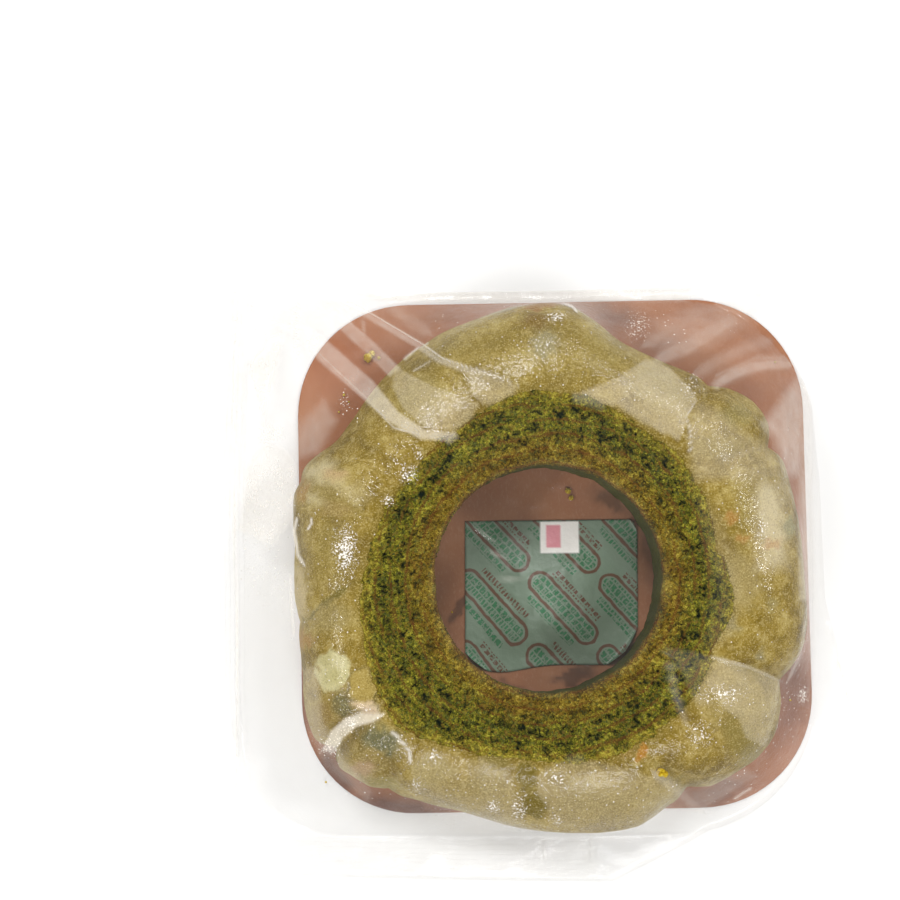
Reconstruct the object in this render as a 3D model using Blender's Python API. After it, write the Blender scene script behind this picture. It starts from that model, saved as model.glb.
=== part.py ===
"""A ring of green tea baumkuchen on its card tray, sealed in a clear bag, as the one solid that the bag encloses.

The film lies on the cake, spans its hole, and comes down in tension folds to the tray and the bag's flat margins.
Lengths are in millimetres until they reach the mesh. The bag lies flat: +X and +Y are its width and length as seen
from above, +Z is up, and the origin is under the middle of the bag.
"""

import bisect
import math

import bmesh
import bpy

MM = 0.001

# The cake: a ring with a bulging, lobed flank, cut level on top.
HOLE_CENTRE = (2.3, -1.0)
HOLE_RADIUS = 33.0
CAKE_TOP = 42.0
NOSE_HEIGHT = 18.0

# Crests and valleys of the flank round the hole's centre: degrees from +X, and how far out the cake reaches.
FLANK_REACH = (
    (0, 78.5), (20, 79.5), (39, 83.2), (57, 75.9), (72, 76.0), (87, 84.5), (103, 82.2),
    (122, 79.7), (145, 75.8), (157, 81.2), (174, 76.3), (197, 77.3), (214, 84.3), (228, 82.5),
    (240, 76.5), (256, 74.2), (289, 79.2), (300, 77.2), (323, 83.4), (337, 78.4), (346, 80.6),
)  # fmt: skip

# Where the level cut ends and the glazed flank begins, in the same way.
CUT_REACH = (
    (3, 55.0), (15, 50.5), (43, 51.5), (98, 54.0), (121, 50.3), (158, 50.5), (180, 53.3),
    (198, 57.5), (221, 61.0), (242, 55.0), (260, 52.2), (290, 53.6), (337, 54.0), (350, 57.5),
)  # fmt: skip

# How round the flank is: it leaves the cut nearly level and is steep at its nose.
FLANK_SPREAD = 2.4

# The taut film leaves the flank between these shares of the way to the nose, found in this many steps.
LEAST_SHARE_TOUCHED = 0.5
MOST_SHARE_TOUCHED = 0.93
LEAVING_STEPS = 200

# The film spans the hole nearly flat.
HOLE_SAG = 2.5

# Clefts between the flank's lobes: degree at the nose, degree at the cut, half width in degrees, depth.
CLEFTS = (
    (218.6, 215.4, 4.5, 4.0), (234.0, 223.8, 3.5, 1.8), (49.7, 44.6, 4.5, 1.5), (31.5, 35.9, 4.5, 1.2),
    (158.2, 161.1, 4.5, 1.2), (189.9, 180.7, 4.5, 1.2), (336.5, 334.4, 4.5, 1.2), (304.1, 298.5, 4.5, 1.5),
)  # fmt: skip
# How far round its half wave a cleft's depth has come at the nose: it is deepest a little above that.
CLEFT_TURN = 0.75

# The square card tray.
TRAY_CENTRE = (5.9, 5.4)
TRAY_HALF = 80.0
TRAY_CORNER = 42.0

# Where the film comes down round the tray, and the radius that it turns with at each corner.
FOOT_LEFT, FOOT_RIGHT, FOOT_LOW, FOOT_HIGH = -90.0, 86.7, -79.0, 86.1
FOOT_CORNERS = {"top_right": 42.6, "top_left": 22.0, "low_left": 30.0, "low_right": 42.6}
MARGIN_AT_FOOT = 1.3
MARGIN_AT_EDGE = 0.9

# The free film runs straight from the cake to its foot, and is at least this wide.
LEAST_SPAN = 3.0

# The bag's flat edge, anticlockwise from the right. Its corners are free ears of film.
RIGHT_MARGIN = 1.9
LOW_CORNER_ARC = (298, 342)
HIGH_CORNER_ARC = (12, 44)
RIGHT_EAR = ((92.8, -48.5), (99.4, -44.5), (90.2, -7.5), (88.9, 29.8))
UPPER_EDGE = ((69.5, 80.4), (75.0, 90.6), (40.0, 90.2), (8.0, 89.5), (-30.0, 88.9), (-46.8, 87.4))
LEFT_EDGE = ((-59.0, 90.5), (-73.0, 93.0), (-97.4, 93.9), (-99.0, 45.0), (-99.4, 10.0), (-98.4, -35.0))
LOWER_EDGE = ((-95.6, -80.0), (-94.4, -91.6), (-30.0, -93.3), (24.0, -93.9), (48.0, -81.5))

# Tension folds in the free film, one fan for each stretch: first and last degree, number of folds, height.
FOLD_FANS = ((118.0, 152.0, 4, 1.7), (30.0, 62.0, 3, 1.4), (298.0, 330.0, 3, 1.2), (160.0, 200.0, 3, 1.2))

# The mesh: how many points go round, and rings in each zone from the hole to the bag's edge.
POINTS_ROUND = 180
RINGS_OVER_HOLE = 3
RINGS_ON_CUT = 2
RINGS_ON_FLANK = 9
RINGS_IN_SPAN = 7
RINGS_IN_MARGIN = 3

# Edges bent by more than this many degrees are shaded sharp: the bag's rim, and where film meets flat margin.
SHARP_ANGLE = 33
# Two directions whose cross product is under this run alongside each other.
PARALLEL = 1e-9


def clear_scene():
    """Removes what the scene held before."""
    for old in list(bpy.data.objects):
        bpy.data.objects.remove(old, do_unlink=True)


def round_curve(points, degrees):
    """A smooth closed curve of radius against angle through (degrees, radius) points."""
    angles = [a for a, _ in points]
    count = len(points)
    after = bisect.bisect_right(angles, degrees % 360) % count
    p = [points[(after + k) % count][1] for k in (-2, -1, 0, 1)]
    start, end = angles[after - 1], angles[after]
    t = ((degrees - start) % 360) / ((end - start) % 360)
    return p[1] + 0.5 * t * (
        p[2] - p[0] + t * (2 * p[0] - 5 * p[1] + 4 * p[2] - p[3] + t * (3 * (p[1] - p[2]) + p[3] - p[0]))
    )


def arc(centre, radius, first, last, steps=10):
    """Points on a circle's arc, from the first to the last degree."""
    turns = [math.radians(first + (last - first) * k / steps) for k in range(steps + 1)]
    return [(centre[0] + radius * math.cos(a), centre[1] + radius * math.sin(a)) for a in turns]


def rounded_rectangle(left, right, low, high, corners):
    """The outline of a rectangle whose four corners have their own radii, anticlockwise."""
    tr, tl, bl, br = (corners[k] for k in ("top_right", "top_left", "low_left", "low_right"))
    return (
        arc((right - tr, high - tr), tr, 0, 90)
        + arc((left + tl, high - tl), tl, 90, 180)
        + arc((left + bl, low + bl), bl, 180, 270)
        + arc((right - br, low + br), br, 270, 360)
    )


def bag_edge():
    """The bag's outline on the table, which follows the tray's two right-hand corners."""
    inner = TRAY_HALF - TRAY_CORNER
    radius = TRAY_CORNER + RIGHT_MARGIN
    low_corner = arc((TRAY_CENTRE[0] + inner, TRAY_CENTRE[1] - inner), radius, *LOW_CORNER_ARC)
    high_corner = arc((TRAY_CENTRE[0] + inner, TRAY_CENTRE[1] + inner), radius, *HIGH_CORNER_ARC)
    return [*low_corner, *RIGHT_EAR, *high_corner, *UPPER_EDGE, *LEFT_EDGE, *LOWER_EDGE]


def reach(outline, degrees):
    """How far an outline lies from the hole's centre, in one direction."""
    a = math.radians(degrees)
    dx, dy = math.cos(a), math.sin(a)
    found = []
    for (x0, y0), (x1, y1) in zip(outline, outline[1:] + outline[:1]):
        ax, ay = x0 - HOLE_CENTRE[0], y0 - HOLE_CENTRE[1]
        ex, ey = x1 - x0, y1 - y0
        cross = dx * ey - dy * ex
        if abs(cross) < PARALLEL:
            continue
        along = (ax * ey - ay * ex) / cross
        share = (ax * dy - ay * dx) / cross
        if along > 0 and -PARALLEL <= share <= 1 + PARALLEL:
            found.append(along)
    return max(found)


def flank_height(share):
    """Height of the flank at this share of the way from the cut to the nose."""
    return NOSE_HEIGHT + (CAKE_TOP - NOSE_HEIGHT) * math.sqrt(1 - share**FLANK_SPREAD)


def leaving_share(cut, nose, foot):
    """The share at which the film leaves the flank: where a straight line from its foot just touches the cake."""
    step = (MOST_SHARE_TOUCHED - LEAST_SHARE_TOUCHED) / LEAVING_STEPS
    shares = [LEAST_SHARE_TOUCHED + step * k for k in range(LEAVING_STEPS + 1)]

    def steepness(share):
        across = max(foot - cut - (nose - cut) * share, LEAST_SPAN)
        return (flank_height(share) - MARGIN_AT_FOOT) / across

    return max(shares, key=steepness)


def cleft(degrees, share):
    """How deep the film is pinched into the clefts, at this share of the way down the flank."""
    deep = 0.0
    for at_nose, at_cut, half_width, depth in CLEFTS:
        off = abs(degrees - at_cut - (at_nose - at_cut) * share) / half_width
        deep += depth * max(0.0, 1 - off) * math.sin(math.pi * share * CLEFT_TURN) ** 2
    return deep


def fold(degrees, share):
    """Height of the tension folds over the straight span: sharp ridges that die out at both ends."""
    for first, last, count, height in FOLD_FANS:
        if first < degrees < last:
            phase = (degrees - first) / (last - first) * count % 1.0
            return height * (1 - abs(2 * phase - 1)) * math.sin(math.pi * share)
    return 0.0


def profile(degrees, foot_line, edge_line):
    """The film's rings along one direction, as (radius, height) from the hole out to the bag's edge."""
    cut = round_curve(CUT_REACH, degrees)
    nose = round_curve(FLANK_REACH, degrees)
    foot = reach(foot_line, degrees)
    edge = reach(edge_line, degrees)
    rings = []
    for k in range(1, RINGS_OVER_HOLE + 1):
        share = k / RINGS_OVER_HOLE
        rings.append((HOLE_RADIUS * share, CAKE_TOP - HOLE_SAG * (1 - share**2)))
    for k in range(1, RINGS_ON_CUT + 1):
        rings.append((HOLE_RADIUS + (cut - HOLE_RADIUS) * k / RINGS_ON_CUT, CAKE_TOP))
    touched = leaving_share(cut, nose, foot)
    for k in range(1, RINGS_ON_FLANK + 1):
        share = touched * math.sin(math.pi / 2 * k / RINGS_ON_FLANK)
        rings.append((cut + (nose - cut) * share, flank_height(share) - cleft(degrees, share)))
    leave, height = rings[-1]
    foot = max(foot, leave + LEAST_SPAN)
    for k in range(1, RINGS_IN_SPAN + 1):
        share = k / RINGS_IN_SPAN
        level = height + (MARGIN_AT_FOOT - height) * share
        rings.append((leave + (foot - leave) * share, level + fold(degrees, share)))
    for k in range(1, RINGS_IN_MARGIN + 1):
        share = k / RINGS_IN_MARGIN
        level = MARGIN_AT_FOOT + (MARGIN_AT_EDGE - MARGIN_AT_FOOT) * share
        rings.append((foot + (edge - foot) * share, level))
    return rings


def build_bag():
    """The bag as one closed solid: the film's rings, a thin rim, and a flat underside."""
    foot_line = rounded_rectangle(FOOT_LEFT, FOOT_RIGHT, FOOT_LOW, FOOT_HIGH, FOOT_CORNERS)
    edge_line = bag_edge()
    mesh = bmesh.new()

    def point(radius, turn, height):
        x = HOLE_CENTRE[0] + radius * math.cos(turn)
        y = HOLE_CENTRE[1] + radius * math.sin(turn)
        return mesh.verts.new((x * MM, y * MM, height * MM))

    columns = []
    for k in range(POINTS_ROUND):
        degrees = 360 * k / POINTS_ROUND
        turn = math.radians(degrees)
        rings = profile(degrees, foot_line, edge_line)
        column = [point(radius, turn, height) for radius, height in rings]
        column.append(point(rings[-1][0], turn, 0.0))
        columns.append(column)
    crown = point(0.0, 0.0, CAKE_TOP - HOLE_SAG)
    base = point(0.0, 0.0, 0.0)
    for here, there in zip(columns, columns[1:] + columns[:1]):
        mesh.faces.new((crown, here[0], there[0]))
        mesh.faces.new((base, there[-1], here[-1]))
        for a, b, c, d in zip(here, here[1:], there[1:], there):
            mesh.faces.new((a, b, c, d))
    bmesh.ops.recalc_face_normals(mesh, faces=mesh.faces)
    data = bpy.data.meshes.new("sealed_bag")
    mesh.to_mesh(data)
    mesh.free()
    data.shade_smooth()
    data.set_sharp_from_angle(angle=math.radians(SHARP_ANGLE))
    bag = bpy.data.objects.new("sealed_bag", data)
    bpy.context.scene.collection.objects.link(bag)
    return bag


def film_over_cake():
    """The material of the whole bag seen from outside: olive cake under clear glossy film."""
    material = bpy.data.materials.new("film_over_cake")
    material.use_nodes = True
    shader = material.node_tree.nodes["Principled BSDF"]
    shader.inputs["Base Color"].default_value = (0.36, 0.30, 0.14, 1)
    shader.inputs["Roughness"].default_value = 0.25
    shader.inputs["Metallic"].default_value = 0.0
    return material


def main():
    """Builds the bag and gives it its material."""
    clear_scene()
    bag = build_bag()
    bag.data.materials.append(film_over_cake())


main()
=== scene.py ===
"""Dresses the sealed baumkuchen: clear film, green tea crumb, sugar glaze, card tray, sachet and crumbs.

Lengths are in millimetres until they reach a mesh or a node. Pixels are those of the 900 pixel photograph.
They only say where a mark lies on a piece, whose form comes from real sizes: the piece's own colour, painted
shade or a painted highlight.
"""

import bisect
import logging
import math
from dataclasses import dataclass, field
from enum import Enum
from typing import Any, Iterable, Sequence

import bpy
import numpy as np
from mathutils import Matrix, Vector, noise


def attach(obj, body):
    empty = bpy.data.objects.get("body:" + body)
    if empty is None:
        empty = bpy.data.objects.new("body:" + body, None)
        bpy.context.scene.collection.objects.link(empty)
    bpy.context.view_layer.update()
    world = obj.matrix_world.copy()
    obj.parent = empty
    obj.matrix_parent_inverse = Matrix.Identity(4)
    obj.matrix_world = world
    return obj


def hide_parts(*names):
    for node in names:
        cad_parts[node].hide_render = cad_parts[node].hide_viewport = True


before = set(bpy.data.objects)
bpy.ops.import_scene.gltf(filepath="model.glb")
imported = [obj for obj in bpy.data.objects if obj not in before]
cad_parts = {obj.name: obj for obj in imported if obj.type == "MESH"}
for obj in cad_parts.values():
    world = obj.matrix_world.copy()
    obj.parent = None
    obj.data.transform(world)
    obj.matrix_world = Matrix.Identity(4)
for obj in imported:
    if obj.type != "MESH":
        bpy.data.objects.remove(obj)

LOG = logging.getLogger("baumkuchen")
MM = 0.001
BODY = "root"
NODE = "sealed_bag"
WHITE = (1, 1, 1, 1)
# How far a patch's edge wanders in pixels, and the size of that waviness in millimetres.
STAIN_WANDER = 6.0
STAIN_WAVE = 3.5
# The share of a fold's length over which each end tapers, and how thin it gets.
FOLD_TAPER = 0.12
FOLD_TIP = 0.15

Point = tuple[float, float]
Three = tuple[float, float, float]
Four = tuple[float, float, float, float]
Place = Three
Colour = Four
Row = tuple[Any, ...]


class Finish(Enum):
    """The names of the record's material slots for the pack's finishes."""

    FILM = "clear_film"
    SPONGE = "sponge"
    GLAZE = "glaze"
    TRAY = "card_tray"
    SACHET = "sachet"


class Zone(Enum):
    """The stretches of the film from the middle of the hole out to the bag's edge."""

    HOLE = 0
    CUT = 1
    FLANK = 2
    SPAN = 3
    MARGIN = 4


class Kind(Enum):
    """Frequent nodes: type, fixed settings, the setting that a row gives first, inputs, main output."""

    COORDS = ("ShaderNodeTexCoord", {}, "", (), "Object")
    ATTRIBUTE = ("ShaderNodeAttribute", {}, "attribute_name", (), "Fac")
    MATH = ("ShaderNodeMath", {}, "operation", (0, 1, 2), 0)
    VECTOR = ("ShaderNodeVectorMath", {}, "operation", (0, 1, 2), 0)
    NOISE = ("ShaderNodeTexNoise", {}, "", ("Vector", "Scale", "Detail", "Roughness", "Distortion"), 0)
    SEEDED = ("ShaderNodeTexNoise", {"noise_dimensions": "4D"}, "",
              ("W", "Vector", "Scale", "Detail", "Roughness"), 0)
    CELLS = ("ShaderNodeTexVoronoi", {}, "", ("Vector", "Scale"), "Distance")
    SEEDED_CELLS = ("ShaderNodeTexVoronoi", {"voronoi_dimensions": "4D"}, "feature",
                    ("W", "Vector", "Scale"), 0)
    SPLIT = ("ShaderNodeSeparateColor", {}, "", (0,), 0)
    RANGE = ("ShaderNodeMapRange", {}, "", (0, 1, 2, 3, 4), 0)
    RAMP = ("ShaderNodeValToRGB", {}, "", (0,), 0)
    MIX = ("ShaderNodeMix", {"data_type": "RGBA"}, "", (0, 6, 7), 2)
    BUMP = ("ShaderNodeBump", {}, "", ("Height", "Strength", "Distance", "Normal"), 0)


def linear(hex_colour: str) -> Colour:
    """Turns an sRGB hex colour into the linear colour that a socket takes.

    Args:
        hex_colour: six hex digits, with or without a leading hash.

    Returns:
        Linear red, green and blue, and an alpha of one.
    """
    digits = hex_colour.lstrip("#")
    parts = [int(digits[k:k + 2], 16) / 255 for k in (0, 2, 4)]
    red, green, blue = (p / 12.92 if p <= 0.04045 else ((p + 0.055) / 1.055) ** 2.4 for p in parts)
    return (red, green, blue, 1.0)


def per_mm(length: float) -> float:
    """The scale of a pattern on coordinates in metres whose size is this many millimetres."""
    return 1.0 / (length * MM)


def add_node(
    tree: bpy.types.NodeTree, kind: str, settings: dict[str, Any], inputs: dict[Any, Any],
    ramp: Sequence[tuple[float, Colour]] = (),
) -> bpy.types.Node:
    """Adds a node with its settings, constants and links.

    Args:
        tree: the node tree that takes it.
        kind: Blender's name for the kind of node.
        settings: the node's own properties by name.
        inputs: by an input's name or number, a constant or the output that is linked to it.
        ramp: the stops of a colour ramp, as position and colour.

    Returns:
        The new node.
    """
    node = tree.nodes.new(kind)
    for name, value in settings.items():
        setattr(node, name, value)
    for key, value in inputs.items():
        if isinstance(value, bpy.types.NodeSocket):
            tree.links.new(value, node.inputs[key])
        else:
            node.inputs[key].default_value = value
    for k, (position, colour) in enumerate(ramp):
        stops = node.color_ramp.elements
        stop = stops[k] if k < 2 else stops.new(position)
        stop.position, stop.color = position, colour
    return node


class NodeTable:
    """Fills a node tree from rows that name each other's outputs."""

    def __init__(self, tree: bpy.types.NodeTree) -> None:
        """Starts with the tree that takes the nodes."""
        self.tree = tree
        self.made: dict[str, tuple[bpy.types.Node, Any]] = {}

    def entry(self, value: Any) -> Any:
        """What a row's entry stands for.

        Args:
            value: ">name" for a node's main output, ">name.Output" for another, "#rrggbb", or a plain value.

        Returns:
            The output, the linear colour or the value.
        """
        if isinstance(value, str) and value.startswith(">"):
            name, _, output = value[1:].partition(".")
            node, main = self.made[name]
            return node.outputs[int(output) if output.isdigit() else output or main]
        return linear(value) if isinstance(value, str) and value.startswith("#") else value

    def add(self, rows: Iterable[Row]) -> None:
        """Adds a node for each row.

        Args:
            rows: a name, a Kind or a type, the Kind's own setting where it has one, entries for the inputs in
                order with None for one left alone, and a dictionary of settings and of further inputs. An
                input's name has a capital or is a number.
        """
        for name, kind, *entries in rows:
            known = kind.value if isinstance(kind, Kind) else (kind, {}, "", (), 0)
            node_type, fixed, option, keys, main = known
            named = dict(entries.pop()) if entries and isinstance(entries[-1], dict) else {}
            ramp = [(position, self.entry(colour)) for position, colour in named.pop("ramp", ())]
            settings = fixed | ({option: entries.pop(0)} if option else {})
            settings |= {key: value for key, value in named.items() if str(key).islower()}
            given = [*zip(keys, entries), *((key, v) for key, v in named.items() if not str(key).islower())]
            inputs = {key: self.entry(value) for key, value in given if value is not None}
            self.made[name] = (add_node(self.tree, node_type, settings, inputs, ramp), main)


def new_material(name: str, rows: Sequence[Row]) -> bpy.types.Material:
    """Builds a material.

    Args:
        name: the material's name.
        rows: its nodes, of which the last is the shader.

    Returns:
        The material.
    """
    material = bpy.data.materials.new(name)
    material.use_nodes = True
    material.node_tree.nodes.clear()
    NodeTable(material.node_tree).add([*rows, ("output", "ShaderNodeOutputMaterial", {0: ">" + rows[-1][0]})])
    return material


class GeometryTree(NodeTable):
    """A Geometry Nodes tree with named inputs, whose result becomes a plain mesh."""

    def __init__(self, name: str, inputs: dict[str, Any]) -> None:
        """Starts the tree.

        Args:
            name: the tree's name.
            inputs: by name, the value that the modifier gives it: a float, a whole number or a vector.
        """
        super().__init__(bpy.data.node_groups.new(name, "GeometryNodeTree"))
        kinds = {float: "NodeSocketFloat", int: "NodeSocketInt", tuple: "NodeSocketVector"}
        interface = self.tree.interface
        interface.new_socket("Geometry", in_out="INPUT", socket_type="NodeSocketGeometry")
        self.values = {}
        for key, value in inputs.items():
            socket = interface.new_socket(key, in_out="INPUT", socket_type=kinds[type(value)])
            self.values[socket.identifier] = value
        interface.new_socket("Geometry", in_out="OUTPUT", socket_type="NodeSocketGeometry")
        self.made["in"] = (self.tree.nodes.new("NodeGroupInput"), 0)

    def run(self, made: bpy.types.Object, rows: Sequence[Row], material: bpy.types.Material) -> None:
        """Fills the tree, evaluates it on an object and keeps the result as its mesh.

        Args:
            made: the object that takes the modifier.
            rows: the tree's nodes, of which the last gives its geometry.
            material: what the result is made of.
        """
        self.add([
            *rows,
            ("real", "GeometryNodeRealizeInstances", {"Geometry": ">" + rows[-1][0]}),
            ("clad", "GeometryNodeSetMaterial", {"Geometry": ">real", "Material": material}),
            ("out", "NodeGroupOutput", {0: ">clad"}),
        ])
        modifier = made.modifiers.new(self.tree.name, "NODES")
        modifier.node_group = self.tree
        for identifier, value in self.values.items():
            modifier[identifier] = value
        graph = bpy.context.evaluated_depsgraph_get()
        mesh = bpy.data.meshes.new_from_object(
            made.evaluated_get(graph), preserve_all_data_layers=True, depsgraph=graph
        )
        made.modifiers.remove(modifier)
        made.data = mesh
        mesh.shade_smooth()


@dataclass(frozen=True)
class PhotoView:
    """The photograph's camera, which looks almost straight down from a little below the pack's middle."""

    frame_size: float = 900.0
    focus: float = 2000.0
    pixels_per_mm: float = 3.2
    elevation: float = 86.0
    aim: Point = (-26.4, 39.3)
    sensor: float = 36.0
    clip_end: float = 20.0

    @property
    def place(self) -> Place:
        """Where the camera stands, in millimetres."""
        lean, distance = math.radians(self.elevation), self.focus / self.pixels_per_mm
        return (self.aim[0], self.aim[1] - distance * math.cos(lean), distance * math.sin(lean))

    def pixels(self, points: np.ndarray) -> np.ndarray:
        """Where points show in the photograph.

        Args:
            points: an array of places in millimetres, with x, y and z last.

        Returns:
            The same array with a pixel's column and row last.
        """
        lean = math.radians(self.elevation)
        away = points - np.array(self.place)
        depth = away[..., 1] * math.cos(lean) - away[..., 2] * math.sin(lean)
        rise = away[..., 1] * math.sin(lean) + away[..., 2] * math.cos(lean)
        middle = self.frame_size / 2
        column = middle + self.focus * away[..., 0] / depth
        return np.stack([column, middle - self.focus * rise / depth], axis=-1)

    def level_point(self, pixel: Point, level: float) -> Point:
        """The point at a height that a pixel shows.

        Args:
            pixel: column and row in the photograph.
            level: height above the table in millimetres.

        Returns:
            X and Y in millimetres.
        """
        lean = math.radians(self.elevation)
        across = (pixel[0] - self.frame_size / 2) / self.focus
        up = (self.frame_size / 2 - pixel[1]) / self.focus
        ray = (across, math.cos(lean) + up * math.sin(lean), -math.sin(lean) + up * math.cos(lean))
        x, y, z = self.place
        reach = (level - z) / ray[2]
        return (x + reach * ray[0], y + reach * ray[1])

    def build(self) -> None:
        """Makes the scene's camera."""
        data = bpy.data.cameras.new("photo_camera")
        data.lens = self.focus / self.frame_size * self.sensor
        data.sensor_width = self.sensor
        data.clip_end = self.clip_end
        camera = bpy.data.objects.new("photo_camera", data)
        camera.location = [v * MM for v in self.place]
        camera.rotation_euler = (math.radians(90 - self.elevation), 0.0, 0.0)
        bpy.context.scene.collection.objects.link(camera)
        bpy.context.scene.camera = camera


@dataclass(frozen=True)
class Spoke:
    """One direction out from the hole's centre, with how far each outline lies along it."""

    degrees: float
    cut: float
    nose: float
    foot: float
    edge: float
    touched: float
    leave: float
    leave_height: float


@dataclass(frozen=True)
class PackForm:
    """The sealed pack's driving sizes in millimetres, the same as the solid's, and the form they give."""

    hole_centre: Point = (2.3, -1.0)
    hole_radius: float = 33.0
    cake_top: float = 42.0
    nose_height: float = 18.0
    # Crests and valleys of the flank: degrees from +X, and how far out the cake reaches.
    flank_reach: tuple[Point, ...] = (
        (0, 78.5), (20, 79.5), (39, 83.2), (57, 75.9), (72, 76.0), (87, 84.5), (103, 82.2), (122, 79.7),
        (145, 75.8), (157, 81.2), (174, 76.3), (197, 77.3), (214, 84.3), (228, 82.5), (240, 76.5),
        (256, 74.2), (289, 79.2), (300, 77.2), (323, 83.4), (337, 78.4), (346, 80.6),
    )
    # Where the level cut ends and the glazed flank begins, in the same way.
    cut_reach: tuple[Point, ...] = (
        (3, 55.0), (15, 50.5), (43, 51.5), (98, 54.0), (121, 50.3), (158, 50.5), (180, 53.3), (198, 57.5),
        (221, 61.0), (242, 55.0), (260, 52.2), (290, 53.6), (337, 54.0), (350, 57.5),
    )
    flank_spread: float = 2.4
    least_share: float = 0.5
    most_share: float = 0.93
    leaving_steps: int = 200
    hole_sag: float = 2.5
    # Clefts between the lobes: degree at the nose, degree at the cut, half width in degrees, depth.
    clefts: tuple[Four, ...] = (
        (218.6, 215.4, 4.5, 4.0), (234.0, 223.8, 3.5, 1.8), (49.7, 44.6, 4.5, 1.5), (31.5, 35.9, 4.5, 1.2),
        (158.2, 161.1, 4.5, 1.2), (189.9, 180.7, 4.5, 1.2), (336.5, 334.4, 4.5, 1.2),
        (304.1, 298.5, 4.5, 1.5),
    )
    cleft_turn: float = 0.75
    tray_centre: Point = (5.9, 5.4)
    tray_half: float = 80.0
    tray_corner: float = 42.0
    # Left, right, low and high lines where the film comes down, then the radius of each corner.
    foot_lines: Four = (-90.0, 86.7, -79.0, 86.1)
    foot_corners: Four = (42.6, 22.0, 30.0, 42.6)
    margin_at_foot: float = 1.3
    least_span: float = 3.0
    right_margin: float = 1.9
    least_margin: float = 0.3
    low_corner_arc: Point = (298, 342)
    high_corner_arc: Point = (12, 44)
    # The bag's outline beyond those arcs: the right ear, then the upper, left and lower edges.
    right_ear: tuple[Point, ...] = ((92.8, -48.5), (99.4, -44.5), (90.2, -7.5), (88.9, 29.8))
    other_edges: tuple[Point, ...] = (
        (69.5, 80.4), (75.0, 90.6), (40.0, 90.2), (8.0, 89.5), (-30.0, 88.9), (-46.8, 87.4),
        (-59.0, 90.5), (-73.0, 93.0), (-97.4, 93.9), (-99.0, 45.0), (-99.4, 10.0), (-98.4, -35.0),
        (-95.6, -80.0), (-94.4, -91.6), (-30.0, -93.3), (24.0, -93.9), (48.0, -81.5),
    )
    # Tension folds in the free film: first and last degree, number of folds, height.
    fold_fans: tuple[Four, ...] = (
        (118.0, 152.0, 4, 1.7), (30.0, 62.0, 3, 1.4), (298.0, 330.0, 3, 1.2), (160.0, 200.0, 3, 1.2),
    )

    @staticmethod
    def round_curve(points: Sequence[Point], degrees: float) -> float:
        """Reads a smooth closed curve of radius against angle.

        Args:
            points: degrees and radius of each point that it passes.
            degrees: the direction asked for.

        Returns:
            The radius there.
        """
        angles = [a for a, _ in points]
        count = len(points)
        after = bisect.bisect_right(angles, degrees % 360) % count
        p = [points[(after + k) % count][1] for k in (-2, -1, 0, 1)]
        start, end = angles[after - 1], angles[after]
        t = ((degrees - start) % 360) / ((end - start) % 360)
        cubic = 2 * p[0] - 5 * p[1] + 4 * p[2] - p[3] + t * (3 * (p[1] - p[2]) + p[3] - p[0])
        return p[1] + 0.5 * t * (p[2] - p[0] + t * cubic)

    @staticmethod
    def arc(centre: Point, radius: float, first: float, last: float, steps: int = 10) -> list[Point]:
        """Points along a circle's arc.

        Args:
            centre: the circle's centre.
            radius: its radius.
            first: the degree where the arc starts.
            last: the degree where it ends.
            steps: how many steps it is cut into.

        Returns:
            The points in order.
        """
        turns = [math.radians(first + (last - first) * k / steps) for k in range(steps + 1)]
        return [(centre[0] + radius * math.cos(a), centre[1] + radius * math.sin(a)) for a in turns]

    def foot_line(self) -> list[Point]:
        """The line where the film comes down round the tray, anticlockwise."""
        left, right, low, high = self.foot_lines
        tr, tl, bl, br = self.foot_corners
        return (
            self.arc((right - tr, high - tr), tr, 0, 90) + self.arc((left + tl, high - tl), tl, 90, 180)
            + self.arc((left + bl, low + bl), bl, 180, 270) + self.arc((right - br, low + br), br, 270, 360)
        )

    def bag_edge(self) -> list[Point]:
        """The bag's outline on the table, anticlockwise from the right."""
        inner = self.tray_half - self.tray_corner
        radius = self.tray_corner + self.right_margin
        x, y = self.tray_centre
        low_corner = self.arc((x + inner, y - inner), radius, *self.low_corner_arc)
        high_corner = self.arc((x + inner, y + inner), radius, *self.high_corner_arc)
        return [*low_corner, *self.right_ear, *high_corner, *self.other_edges]

    @staticmethod
    def reach(outline: Sequence[Point], degrees: float, centre: Point) -> float:
        """How far an outline lies from a centre in one direction.

        Args:
            outline: its points in order.
            degrees: the direction.
            centre: where the ray starts.

        Returns:
            The distance to the farthest crossing.
        """
        a = math.radians(degrees)
        dx, dy = math.cos(a), math.sin(a)
        found = [0.0]
        for (x0, y0), (x1, y1) in zip(outline, [*outline[1:], outline[0]]):
            ax, ay = x0 - centre[0], y0 - centre[1]
            ex, ey = x1 - x0, y1 - y0
            cross = dx * ey - dy * ex
            if abs(cross) < 1e-9:
                continue
            far = (ax * ey - ay * ex) / cross
            share = (ax * dy - ay * dx) / cross
            if far > 0 and -1e-9 <= share <= 1 + 1e-9:
                found.append(far)
        return max(found)

    def flank_height(self, share: float) -> float:
        """Height of the flank at this share of the way from the cut to the nose."""
        return self.nose_height + (self.cake_top - self.nose_height) * math.sqrt(1 - share**self.flank_spread)

    def leaving_share(self, cut: float, nose: float, foot: float) -> float:
        """Finds where a straight line of film from its foot just touches the flank.

        Args:
            cut: how far out the flank begins.
            nose: how far out it reaches.
            foot: how far out the film comes down.

        Returns:
            The share of the way from the cut to the nose.
        """
        step = (self.most_share - self.least_share) / self.leaving_steps
        shares = [self.least_share + step * k for k in range(self.leaving_steps + 1)]

        def steepness(share: float) -> float:
            """How steeply film would fall from this share of the flank to its foot."""
            across = max(foot - cut - (nose - cut) * share, self.least_span)
            return (self.flank_height(share) - self.margin_at_foot) / across

        return max(shares, key=steepness)

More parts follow.
